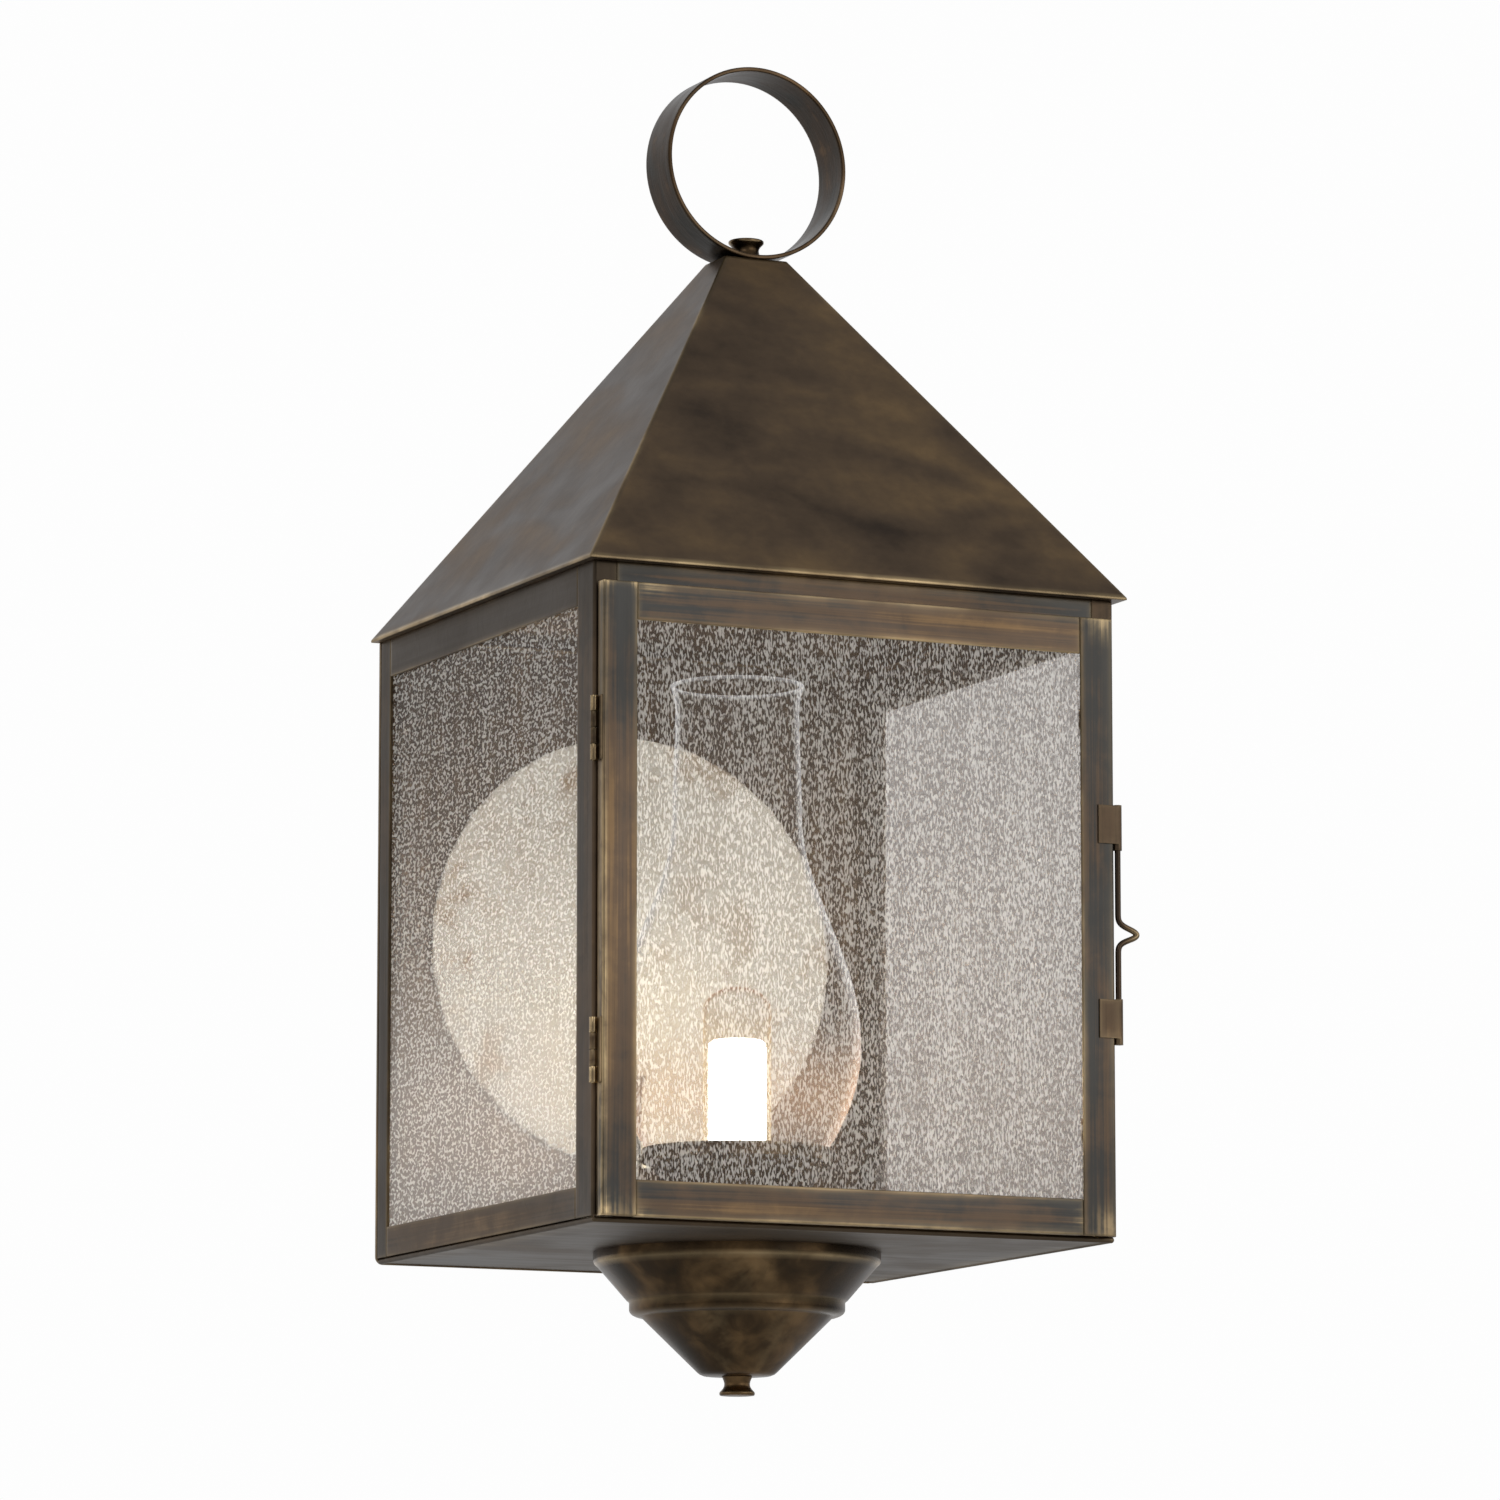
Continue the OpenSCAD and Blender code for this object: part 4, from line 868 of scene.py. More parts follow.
@dataclass
class Workshop:
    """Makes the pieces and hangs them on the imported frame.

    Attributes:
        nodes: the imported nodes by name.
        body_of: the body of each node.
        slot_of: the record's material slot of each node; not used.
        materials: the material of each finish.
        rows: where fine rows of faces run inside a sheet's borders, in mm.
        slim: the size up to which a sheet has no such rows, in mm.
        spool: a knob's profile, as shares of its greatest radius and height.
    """

    nodes: dict[str, bpy.types.Object]
    body_of: dict[str, str]
    slot_of: dict[str, str]
    materials: dict[Finish, bpy.types.Material]
    rows: Sequence[float] = (1.1, 2.4)
    slim: float = 6.0
    spool: Sequence[Pair] = (
        (0.0, 0.0), (0.84, 0.0), (0.85, 0.05), (0.80, 0.14), (0.745, 0.26), (0.72, 0.38),
        (0.73, 0.50), (0.79, 0.62), (0.89, 0.73), (0.98, 0.81), (1.0, 0.86), (1.0, 0.92),
        (0.98, 0.97), (0.92, 1.0), (0.4, 1.0), (0.0, 1.0))

    def hang(self, mesh: bpy.types.Mesh, finish: Finish, nodes: Sequence[str],
             crease: float = 40.0) -> None:
        """Turns a mesh into a piece of the same name that stands for CAD nodes.

        Args:
            mesh: the piece's mesh.
            finish: its finish.
            nodes: the CAD nodes that it stands for.
            crease: the angle in degrees from which its edges are sharp.
        """
        piece = bpy.data.objects.new(mesh.name, mesh)
        bpy.context.scene.collection.objects.link(piece)
        mesh.materials.append(self.materials[finish])
        mesh.set_sharp_from_angle(angle=math.radians(crease))
        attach(piece, self.body_of[nodes[0]])
        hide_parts(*nodes)
        log.info("made %s", piece.name)

    def make(self, skin: Skin, name: str, finish: Finish, crease: float = 40.0,
             nodes: Sequence[str] = ()) -> None:
        """Hangs a skin as a piece that stands for the node of its name, or for others."""
        self.hang(skin.mesh(f"dressed_{name}"), finish, nodes or [name], crease)

    def finish_nodes(self, finish: Finish, *nodes: str) -> None:
        """Gives CAD nodes that stay in view their finish.

        Args:
            finish: the finish.
            *nodes: the nodes.
        """
        for node in nodes:
            data = self.nodes[node].data
            data.materials.clear()
            data.materials.append(self.materials[finish])
            for key in ("edge", "rub"):
                store(data, key, np.zeros(len(data.vertices)))
            log.info("finished %s", node)

    def fold(self, node: str, finish: Finish, bevel: float, cell: float, hip: float = 0.0,
             soft: float = 0.6, rub: Mark = level(0.0), tone: Mark = level(0.0)) -> None:
        """Makes a sheet piece from a CAD node: rounded edges, fine faces, and marks of wear, tone
        and painted light.

        Args:
            node: the CAD node whose shape it keeps.
            finish: its finish.
            bevel: the radius of its cut edges, in mm.
            cell: the size of its faces, in mm.
            hip: the radius of its long slanted folds, in mm.
            soft: how far the wear of an edge reaches, in mm.
            rub: gives how rubbed each point is, with any painted highlight.
            tone: gives how much lighter than its finish each point is, including painted shade.
        """
        work = bmesh.new()
        work.from_mesh(self.nodes[node].data)
        bmesh.ops.remove_doubles(work, verts=work.verts, dist=2e-6)
        bmesh.ops.dissolve_limit(work, angle_limit=math.radians(0.6), verts=work.verts,
                                 edges=work.edges)
        ends = round_edges(work, bevel, hip, self.rows[0])
        slice_faces(work, cell, self.rows, self.slim)
        mesh = bpy.data.meshes.new(f"dressed_{node}")
        work.to_mesh(mesh)
        work.free()
        mesh.shade_smooth()
        points = np.zeros(len(mesh.vertices) * 3)
        mesh.vertices.foreach_get("co", points)
        points = points.reshape(-1, 3)
        store(mesh, "edge", edge_wear(points, ends, bevel, soft))
        store(mesh, "rub", rub(points))
        store(mesh, "tone", tone(points))
        self.hang(mesh, finish, [node])

    def turn(self, profile: Sequence[Sequence[float]], name: str, finish: Finish, steps: int,
             edge: Array | float = 0.0, rub: Array | float = 0.0, crease: float = 40.0,
             nodes: Sequence[str] = ()) -> None:
        """Hangs a piece turned about the lamp's axis.

        Args:
            profile: rows of radius and height above the bottom edge, in mm.
            name: the piece's name.
            finish: its finish.
            steps: how many steps a turn has.
            edge: how near each row is to a worn edge; on glass, where a painted highlight lies.
            rub: how much each row is marked.
            crease: the angle from which its edges are sharp.
            nodes: the CAD nodes it stands for, if not the one of its name.
        """
        rows = np.array(profile, float)
        skin = Skin()
        skin.revolve(np.stack([rows[:, 0] * MM, frame_z(rows[:, 1])], -1), (0.0, LAMP_Y * MM),
                     steps, edge, rub)
        self.make(skin, name, finish, crease, nodes)

    def knob(self, node: str, way: int) -> None:
        """Makes a spool-shaped knob: its profile's knots are joined, thinned and averaged.

        Args:
            node: the CAD node.
            way: +1 if it stands up, -1 if it hangs.
        """
        low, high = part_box(node)
        knots = np.array(self.spool)
        dense = np.linspace(0, len(knots) - 1, 60)
        shape = np.stack([np.interp(dense, np.arange(len(knots)), line) for line in knots.T], -1)
        for k in (0, 1):
            shape[1:-1, k] = np.convolve(shape[:, k], np.ones(3) / 3, "valid")
        seat = low.z if way > 0 else high.z
        profile = shape * ((high.x - low.x) / 2, way * (high.z - low.z)) + (0.0, seat)
        skin = Skin()
        skin.revolve(profile, ((low.x + high.x) / 2, (low.y + high.y) / 2), 64,
                     0.9 * bell(shape[:, 1], 0.8, 0.1))
        self.make(skin, node, Finish.SPUN, 60)


def rounded(points: Sequence[Sequence[float]], radius: float, steps: int, spacing: float) -> Array:
    """Gives a route whose corners are curves: each is a parabola between its two arms.

    Args:
        points: the route's corners.
        radius: how far a curve reaches from its corner.
        steps: how many steps a curve has.
        spacing: the greatest distance between two points.

    Returns:
        The route's points.
    """
    given = np.array(points, float)
    route = [given[0]]
    for before, here, after in zip(given[:-2], given[1:-1], given[2:]):
        a, b = (arm / np.linalg.norm(arm) * min(radius, 0.48 * np.linalg.norm(arm))
                for arm in (before - here, after - here))
        route += [here + a * (1 - u) ** 2 + b * u**2 for u in np.linspace(0, 1, steps)]
    route.append(given[-1])
    dense = [route[0]]
    for a, b in zip(route[:-1], route[1:]):
        parts = max(1, int(np.linalg.norm(b - a) / spacing))
        dense += [a + (b - a) * (k + 1) / parts for k in range(parts)]
    return np.array(dense)


@dataclass
class Cage:
    """The lantern's fixed sheet work: posts, rails, plate, pan and roof. Sizes are in mm.

    Attributes:
        shop: where its pieces are made.
        shaded: the heights between which the posts darken towards the eave: painted shade under it.
        posts: each post's tone below and above them.
        rails: each side rail's tone.
        eave: x and height of the roof's left eave.
        slope: how far the roof goes in as it rises.
        slope_tone: how much darker the left slope is.
    """

    shop: Workshop
    shaded: Pair = (205, 229)
    posts: Sequence[tuple[str, Pair]] = (
        ("post_front_left", (-0.14, -0.34)), ("post_front_right", (-0.05, -0.1)),
        ("post_rear_left", (-0.3, -0.3)), ("post_rear_right", (-0.3, -0.3)))
    rails: Sequence[tuple[str, float]] = (
        ("top_rail_left", -0.34), ("top_rail_right", -0.22),
        ("bottom_rail_left", -0.07), ("bottom_rail_right", 0.0))
    eave: Pair = (-108.5, 239.0)
    slope: float = 95.7 / 136.2
    slope_tone: float = -0.19

    def left_slope(self, points: Array) -> Array:
        """Returns how much darker each point of the roof is, on its left slope.

        Args:
            points: the roof's points.

        Returns:
            The tone: full up to 0.5 mm inside the left fold, and none from 2 mm inside it.
        """
        side = self.eave[0] + (points[:, 2] / MM + MOUNT_H - self.eave[1]) * self.slope
        return self.slope_tone * np.clip((side + 2.0 - points[:, 0] / MM) / 1.5, 0, 1)

    def build(self) -> None:
        """Makes the cage's pieces."""
        fold = self.shop.fold
        # The posts darken towards the eave: painted shade.
        for node, tones in self.posts:
            fold(node, Finish.POST, 0.25, 6, tone=along(2, self.shaded, tones))
        for node, tone in self.rails:
            fold(node, Finish.CAGE, 0.25, 9, tone=level(tone))
        fold("header_rail", Finish.RAIL, 0.25, 5,
             tone=along(0, (-88, -62, 0, 60), (-0.50, -0.22, -0.14, -0.16)))
        fold("sill_rail", Finish.RAIL, 0.25, 9)
        fold("back_plate", Finish.PLATE, 0.3, 14)
        fold("floor_pan", Finish.PAN, 0.2, 14)
        fold("roof", Finish.ROOF, 0.22, 8, hip=0.6, soft=0.5, tone=self.left_slope)


@dataclass
class Top:
    """The hanging ring, its knob and bolt. Sizes are in mm.

    Attributes:
        shop: where its pieces are made.
        radius: the ring's outer radius.
        width: the strap's width.
        thickness: the strap's thickness.
        rounding: the radius of the strap's edges.
        margin: how far its flat part ends from them.
        steps: how many steps the ring has.
    """

    shop: Workshop
    radius: float = 37.0
    width: float = 20.8
    thickness: float = 1.6
    rounding: float = 0.45
    margin: float = 1.2
    steps: int = 160

    def build(self) -> None:
        """Makes the ring, a strap's rounded section carried round a circle, and the knob."""
        low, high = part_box("ring")
        half, soft, flat = self.width / 2, self.rounding, np.ones(7)
        outer, inner = self.radius, self.radius - self.thickness
        corner = np.linspace(0, np.pi / 2, 4)
        flat_y = np.linspace(self.margin - half, half - self.margin, len(flat))
        side_y = half - soft + soft * np.sin(corner)
        out_r, in_r = (outer - soft + soft * np.cos(corner), inner + soft - soft * np.cos(corner))
        y = np.concatenate([flat_y, side_y, side_y[::-1], flat_y[::-1], -side_y, -side_y[::-1]])
        r = np.concatenate([outer * flat, out_r, in_r[::-1], inner * flat, in_r, out_r[::-1]])
        worn = 0.6 * np.exp(-(half - np.abs(y)) / 0.5)
        turn = np.linspace(0, TURN, self.steps, endpoint=False)[:, None]
        points = np.stack([np.sin(turn) * r, y + 0 * turn, np.cos(turn) * r], -1) * MM
        points += (0.0, (low.y + high.y) / 2, high.z - self.radius * MM)
        points[..., 2] = np.maximum(points[..., 2], low.z)
        skin = Skin()
        skin.grid(points, closed_u=True, closed_v=True, edge=worn[None, :])
        self.shop.make(skin, "ring", Finish.RING, 50)
        self.shop.knob("top_knob", +1)
        self.shop.finish_nodes(Finish.MACHINED, "ring_bolt")


@dataclass
class Door:
    """The hinged door, its hinges and its latch. Sizes are in mm.

    Attributes:
        shop: where its pieces are made.
        bend: the left stile's folded edge, with its painted highlight, lies left of this x.
        top_edge: the top rail's lower edge, with its painted highlight, lies below this height.
        low_edge: the bottom rail's, with its painted highlight, lies below this height.
        pin_length: the length of a hinge pin.
        pin_end: how high its domed ends are.
        wire: the latch wire's radius.
        kink: the height of the wire's point.
        tip: how far the point stands out.
        spread: half the height of its limbs.
        limb: places on a limb, as shares of tip and spread.
    """

    shop: Workshop
    bend: float = -102.6
    top_edge: float = 216.6
    low_edge: float = 2.2
    pin_length: float = 24.0
    pin_end: float = 0.3
    wire: float = 1.1
    kink: float = 113.2
    tip: float = 7.95
    spread: float = 5.6
    limb: Sequence[Pair] = ((0.0, 1.0), (0.1, 0.72), (0.3, 0.52), (0.86, 0.2))

    def build(self) -> None:
        """Makes the door's pieces."""
        fold = self.shop.fold
        self.stiles()
        self.rails()
        fold("door_pane_clips", Finish.PLATE, 0.12, 9)
        fold("hinge_leaves_door", Finish.CAGE, 0.12, 4)
        fold("hinge_leaves_post", Finish.RUBBED, 0.12, 4)
        self.pins()
        fold("latch_tab_upper", Finish.POST, 0.2, 3)
        fold("latch_tab_lower", Finish.POST, 0.2, 3)
        self.latch()

    def stiles(self) -> None:
        """Makes the two stiles, rubbed at their ends, with a painted highlight along the left one's
        folded edge.
        """
        # A painted highlight along the left stile's folded edge, strongest in its lower half.
        bright = along(2, (15, 60, 150, 175, 230), (0.38, 0.70, 0.58, 0.30, 0.25))
        self.shop.fold(
            "stile_left", Finish.STILE, 0.28, 3,
            rub=rubbed((0.9, -103.2, 230, 5, 1), (0.8, -91.2, 230, 4, 1), (0.9, -103, 3, 10, 1),
                       (0.5, -91, 3, 9, 1), also=below(0, self.bend, bright)),
            tone=along(2, (25, 55, 80, 130, 165, 190), (-0.24, -0.06, 0.06, 0.14, 0.04, -0.22)))
        self.shop.fold(
            "stile_right", Finish.STILE, 0.28, 3,
            rub=rubbed((0.7, 97, 228, 10, 1), (0.7, 99, 6, 12, 1)),
            tone=along(2, (20, 70, 130, 200, 228), (-0.26, -0.10, -0.18, -0.20, -0.24)))

    def rails(self) -> None:
        """Makes the two rails, rubbed at their ends, with painted highlights along their lower
        edges.
        """
        # A painted highlight along the top rail's lower edge, strongest to the right.
        bright = along(0, (-70, -20, 60), (0.2, 0.7, 1.0))
        self.shop.fold(
            "door_rail_top", Finish.RAIL, 0.25, 5,
            rub=rubbed((0.9, -84.5, 229, 8, 0.5), also=below(2, self.top_edge, bright)),
            tone=along(0, (-90, -60, 0, 60), (-0.14, -0.08, 0.04, 0.08)))
        # The bottom rail's lower edge carries an even painted highlight.
        self.shop.fold(
            "door_rail_bottom", Finish.RAIL, 0.25, 5,
            rub=rubbed((0.6, -88, 3, 6, 1), (0.7, 87, 8, 5, 1),
                       also=below(2, self.low_edge, level(0.5))),
            tone=along(0, (-90, -60, 0, 60, 80), (-0.24, -0.10, -0.06, -0.08, -0.24)))

    def pins(self) -> None:
        """Makes the hinge pins with their domed ends."""
        low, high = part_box("hinge_pins")
        x, y, r = (low.x + high.x) / 2, (low.y + high.y) / 2, (high.x - low.x) / 2
        length, end, u = self.pin_length * MM, self.pin_end * MM, np.linspace(0, np.pi / 2, 6)
        skin = Skin()
        for foot in (low.z, high.z - length):
            lower = np.stack([r * np.sin(u), foot + end * (1 - np.cos(u))], -1)
            upper = np.stack([r * np.cos(u), foot + length - end * (1 - np.sin(u))], -1)
            skin.revolve(np.concatenate([lower, upper]), (x, y), 24, 0.8)
        self.shop.make(skin, "hinge_pins", Finish.RUBBED)

    def latch(self) -> None:
        """Makes the latch's bent wire."""
        low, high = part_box("latch_wire")
        x, y = low.x + self.wire * MM, (low.y + high.y) / 2
        kink, tip, half, end = frame_z(self.kink), self.tip * MM, self.spread * MM, 0.2 * MM
        upper = [(x + a * tip, y, kink + b * half) for a, b in self.limb]
        lower = [(x + a * tip, y, kink - b * half) for a, b in reversed(self.limb)]
        corners = [(x, y, high.z - end), *upper, (x + tip, y, kink), *lower, (x, y, low.z + end)]
        route = rounded(corners, 1.6 * MM, 7, 2.5 * MM)
        skin = Skin()
        skin.sweep(route, self.wire * MM, 24, np.clip((route[:, 0] - x) / tip, 0, 1) ** 2 * 0.9)
        self.shop.make(skin, "latch_wire", Finish.WIRE, 70)


@dataclass
class Panes:
    """The three seeded panes, and the clips of the side ones.

    Attributes:
        shop: where its pieces are made.
        steps: how many points a pane has along and up.
        wave: how far its faces swell, in mm.
        foot: the height from which painted scattered light grows downwards, its reach and its
            strength.
        rear: the same for the painted scattered light that also grows towards the rear.
        most: the painted scattered light's greatest strength.
        tint: how dark the left pane is from inside.
        tint_fall: how much less than fully dark the right one is at its top.
    """

    shop: Workshop
    steps: tuple[int, int] = (60, 66)
    wave: float = 0.06
    foot: Triple = (0.56, 0.5, 0.9)
    rear: Triple = (0.82, 0.35, 0.34)
    most: float = 0.9
    tint: float = 0.35
    tint_fall: float = 0.3

    def build(self) -> None:
        """Makes each pane and the clips."""
        for node in ("pane_left", "pane_right", "door_pane"):
            self.pane(node)
        self.shop.fold("side_pane_clips", Finish.PLATE, 0.12, 9)

    def pane(self, node: str) -> None:
        """Makes a pane: a slab whose faces swell inwards by crossed sines.

        A side pane's outer face carries painted scattered light, growing towards its foot and its
        rear.

        Args:
            node: the CAD node.
        """
        low, high = (np.array(corner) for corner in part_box(node))
        wide = 0 if node == "door_pane" else 1
        u = np.linspace(low[wide], high[wide], self.steps[0])
        v = np.linspace(low[2], high[2], self.steps[1])
        u, v = np.meshgrid(u, v, indexing="ij")
        height = (v - low[2]) / (high[2] - low[2])
        depth = (u - low[wide]) / (high[wide] - low[wide])
        # Painted scattered light on a side pane's outer face.
        foot, rear = (strength * smooth_step(np.clip((start - height) / reach, 0, 1))
                      for start, reach, strength in (self.foot, self.rear))
        painted_scatter = np.clip(foot + rear * depth, 0, self.most) if wide else 0.0
        tints = {"pane_left": self.tint, "pane_right": 1.0 - self.tint_fall * height}
        tint = tints.get(node, 0.0)
        swell = np.sin(u * 210 + 2 * np.sin(v * 95)) * np.sin(v * 160 + np.sin(u * 120))
        outer = high if node == "pane_right" else low
        skin, faces = Skin(), []
        for side, way in ((low, 1.0), (high, -1.0)):
            points = np.zeros((*self.steps, 3))
            points[..., wide], points[..., 2] = u, v
            points[..., 1 - wide] = side[1 - wide] + way * self.wave * MM * (1 + swell)
            skin.grid(points, rub=float(side is outer), edge=painted_scatter if side is outer else tint)
            faces.append(points)
        for border in (np.s_[0], np.s_[-1], np.s_[:, 0], np.s_[:, -1]):
            skin.grid(np.stack([face[border] for face in faces]))
        self.shop.make(skin, node, Finish.SIDE_PANE if wide else Finish.PANE)


@dataclass
class Chimney:
    """The glass chimney. Sizes are in mm, heights are shares of its own.

    Attributes:
        shop: where its pieces are made.
        foot: its radius at the foot.
        belly: its greatest radius.
        neck: its radius at the neck.
        rim: its radius at the rim.
        seat: the height of its foot above the bottom edge.
        height: its height.
        wall: the thickness of its glass.
        belly_u: where the belly is.
        shoulder_u: where the neck begins.
        flare_u: where the rim begins to flare.
        halo: the height and reach in mm of a painted glow from the bulb.
    """

    shop: Workshop
    foot: float = 31.5
    belly: float = 46.3
    neck: float = 23.3
    rim: float = 25.3
    seat: float = 35.5
    height: float = 179.0
    wall: float = 1.8
    belly_u: float = 42.0 / 179.0
    shoulder_u: float = 0.72
    flare_u: float = 0.94
    halo: Pair = (58.0, 24.0)

    def build(self) -> None:
        """Makes the glass as a single skin with rolled lips.

        From the foot it swells by a quarter sine to the belly, then goes by smooth steps in to
        the neck, which narrows by 1 mm, and flares by a square at the rim.
        """
        belly_u, shoulder_u, flare_u = self.belly_u, self.shoulder_u, self.flare_u
        u = np.linspace(0, 1, 90)
        share = np.clip(u / belly_u, 0, 1) ** 0.9
        low = self.foot + (self.belly - self.foot) * np.sin(np.pi / 2 * share)
        share = np.clip((u - belly_u) / (shoulder_u - belly_u), 0, 1) ** 1.08
        middle = self.belly + (self.neck + 1 - self.belly) * smooth_step(share)
        upper = self.neck + 1 - smooth_step(
            np.clip((u - shoulder_u) / (flare_u - shoulder_u), 0, 1))
        top = self.neck + (self.rim - self.neck) * np.clip((u - flare_u) / (1 - flare_u), 0, 1) ** 2
        r = np.select([u < belly_u, u < shoulder_u, u < flare_u], [low, middle, upper], top)
        z = self.seat + self.height * u
        lip, half = np.linspace(0, np.pi, 7)[1:-1], self.wall / 2
        foot, head = r[0] - half, r[-1] - half
        profile = np.concatenate([
            [[foot - half, z[0] + 1.2], [foot - half, z[0] + 0.4]],
            np.stack([foot - half * np.cos(lip), z[0] + 0.4 - 0.4 * np.sin(lip)], -1),
            np.stack([r, z], -1)[1:-1],
            np.stack([head + half * np.cos(lip), z[-1] - 0.4 + 0.4 * np.sin(lip)], -1),
            [[head - half, z[-1] - 0.4], [head - half, z[-1] - 1.2]],
        ])
        heights = profile[:, 1]
        # The lips carry a painted highlight, and the glass near the bulb carries a painted glow.
        edge = np.clip(np.maximum(heights - z[-1] + 2, z[0] + 2 - heights), 0, 1)
        self.shop.turn(profile, "chimney", Finish.CHIMNEY, 128, edge, bell(heights, *self.halo),
                       60, ("chimney_bowl", "chimney_neck"))


@dataclass
class Bulb:
    """The bulb's glass, its lit sleeve and its threaded base. Sizes are in mm.

    Attributes:
        shop: where its pieces are made.
        radius: the glass's radius.
        foot: the height of its foot above the bottom edge.
        height: the glass's height.
        sleeve: the heights between which the sleeve stands.
        base: the base's radius over its threads.
        thread: how deep the threads are.
        pitch: the height of one thread.
        glow: the height up to which the glass glows with painted light, and how far below it does
            so fully.
    """

    shop: Workshop
    radius: float = 12.7
    foot: float = 36.2
    height: float = 64.0
    sleeve: Pair = (37.0, 80.0)
    base: float = 13.05
    thread: float = 0.75
    pitch: float = 3.6
    glow: Pair = (101.0, 24.0)

    def build(self) -> None:
        """Makes the glass, with an elliptic dome, and what is in and under it."""
        radius, foot, top = self.radius, self.foot, self.foot + self.height
        rise, cap = 0.7 * radius, np.linspace(0, np.pi / 2, 14)
        rows = np.concatenate([
            [[0.0, foot], [radius * 0.8, foot], [radius * 0.97, foot + 0.5], [radius, foot + 1.6]],
            np.linspace((radius, foot + 6), (radius, top - rise - 3), 8),
            np.stack([radius * np.cos(cap), top - rise + rise * np.sin(cap)], -1),
        ])
        # A painted glow on the glass, fading out towards the top of its dome.
        glow = np.clip((self.glow[0] - rows[:, 1]) / self.glow[1], 0, 1)
        self.shop.turn(rows, "bulb_glass", Finish.BULB, 64, rub=glow, crease=60)
        low, high = self.sleeve
        rows = [[0, low], [9.6, low], [10.5, low + 1], [10.8, low + 3], [10.8, high - 3],
                [10.5, high - 1], [9.0, high], [0, high]]
        self.shop.turn(rows, "bulb_sleeve", Finish.GLOW, 48)
        self.threads()

    def threads(self) -> None:
        """Makes the base: its radius falls by a sine of height and turn, and fades at the top."""
        low, high = (corner.z / MM + MOUNT_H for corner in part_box("bulb_base"))
        turn = np.linspace(0, TURN, 72, endpoint=False)
        z = np.linspace(low + 3, high, 60)[:, None]
        depth = 0.5 * (1 + np.sin(TURN * z / self.pitch - turn))
        r = self.base - self.thread * depth * np.clip((high - 2 - z) / 1.5, 0, 1)
        points = np.stack([r * np.cos(turn), LAMP_Y + r * np.sin(turn), z + 0 * turn], -1)
        skin = Skin()
        skin.grid((points - (0, 0, MOUNT_H)) * MM, closed_v=True, edge=0.6)
        foot = [[0, low], [4.5, low], [5.0, low + 0.5], [9, low + 1.8], [12.3, low + 3]]
        for rows in (foot, [[self.base, high], [0, high]]):
            skin.revolve((np.array(rows) - (0, MOUNT_H)) * MM, (0.0, LAMP_Y * MM), 72)
        self.shop.make(skin, "bulb_base", Finish.MACHINED, 50)


@dataclass
class Cone:
    """The spun cone under the pan, its knob and its rod. Sizes are in mm.

    Attributes:
        shop: where its pieces are made.
        top: the height of the cone's rim above the bottom edge.
        rim: radius and drop of the rim's rolled edge, point by point.
        slope_end: radius and drop where the upper slope ends.
        step: radius and drop of the step's points.
        roll: middle radius, reach and drop of the step's rolled underside, and its middle drop.
        low: radius and drop where the lower slope starts and ends.
        end: radius and drop of the foot's points.
        wall: how thick the sheet is, on the slopes and at the foot.
        steps: how many steps a turn has.
        worn: strength, drop and reach of its worn bands.
        painted_glints: least and greatest drop, strength, turn and reach in degrees of its warm
            stripes, which are painted highlights.
    """

    shop: Workshop
    top: float = 0.5
    rim: Sequence[Pair] = ((53.6, 0.0), (53.6, 2.6), (53.45, 3.6), (53.0, 4.3), (52.2, 4.9))
    slope_end: Pair = (41.2, 17.6)
    step: Sequence[Pair] = ((40.5, 18.1), (40.2, 18.7), (40.2, 21.2))
    roll: tuple[float, float, float, float] = (35.8, 4.4, 2.6, 21.2)
    low: tuple[Pair, Pair] = ((35.4, 24.2), (14.8, 44.4))
    end: Sequence[Pair] = ((13.9, 45.1), (12.6, 45.6), (6.0, 45.8), (3.2, 45.8))
    wall: Pair = (1.1, 0.9)
    steps: int = 144
    worn: Sequence[Triple] = ((1.0, 4.3, 0.8), (0.8, 18.5, 0.7), (0.5, 23.4, 0.9))
    painted_glints: Sequence[tuple[float, float, float, float, float]] = (
        (24, 45, 0.20, 230, 11), (24, 45, 0.17, 277, 10), (5, 17.5, 0.08, 250, 16))

    def build(self) -> None:
        """Makes the cone, a closed profile turned about the lamp's axis, and its knob."""
        middle, reach, fall, centre = self.roll
        a = np.linspace(0.15, np.pi / 2, 8)
        outside = np.concatenate([
            self.rim, np.linspace(self.rim[-1], self.slope_end, 10)[1:], self.step,
            np.stack([middle + reach * np.cos(a), centre + fall * np.sin(a)], -1),
            np.linspace(*self.low, 14), self.end])
        outside = outside * (1, -1) + (0, self.top)
        inside = outside[::-1].copy()
        thin = inside[:, 0] > 14
        inside[thin, 0] -= self.wall[0]
        inside[~thin, 1] += self.wall[1]
        inside[-1, 1] = self.top
        rows = np.concatenate([outside, inside, outside[:1]])
        turn, drop = np.linspace(0, 360, self.steps, endpoint=False), self.top - rows[:, 1:]
        edge = sum(strength * bell(drop, place, reach) for strength, place, reach in self.worn)
        edge[len(outside):] = 0
        # Painted highlights: warm stripes at fixed turns on the slopes.
        painted_glints = sum((drop > least) * (drop < most) * strength * bell(turn, place, reach)
                   for least, most, strength, place, reach in self.painted_glints)
        self.shop.turn(rows, "cone", Finish.SPUN, self.steps, edge, painted_glints, 75)
        self.shop.knob("bottom_knob", -1)
        self.shop.finish_nodes(Finish.STEEL, "cone_rod", "hickey")


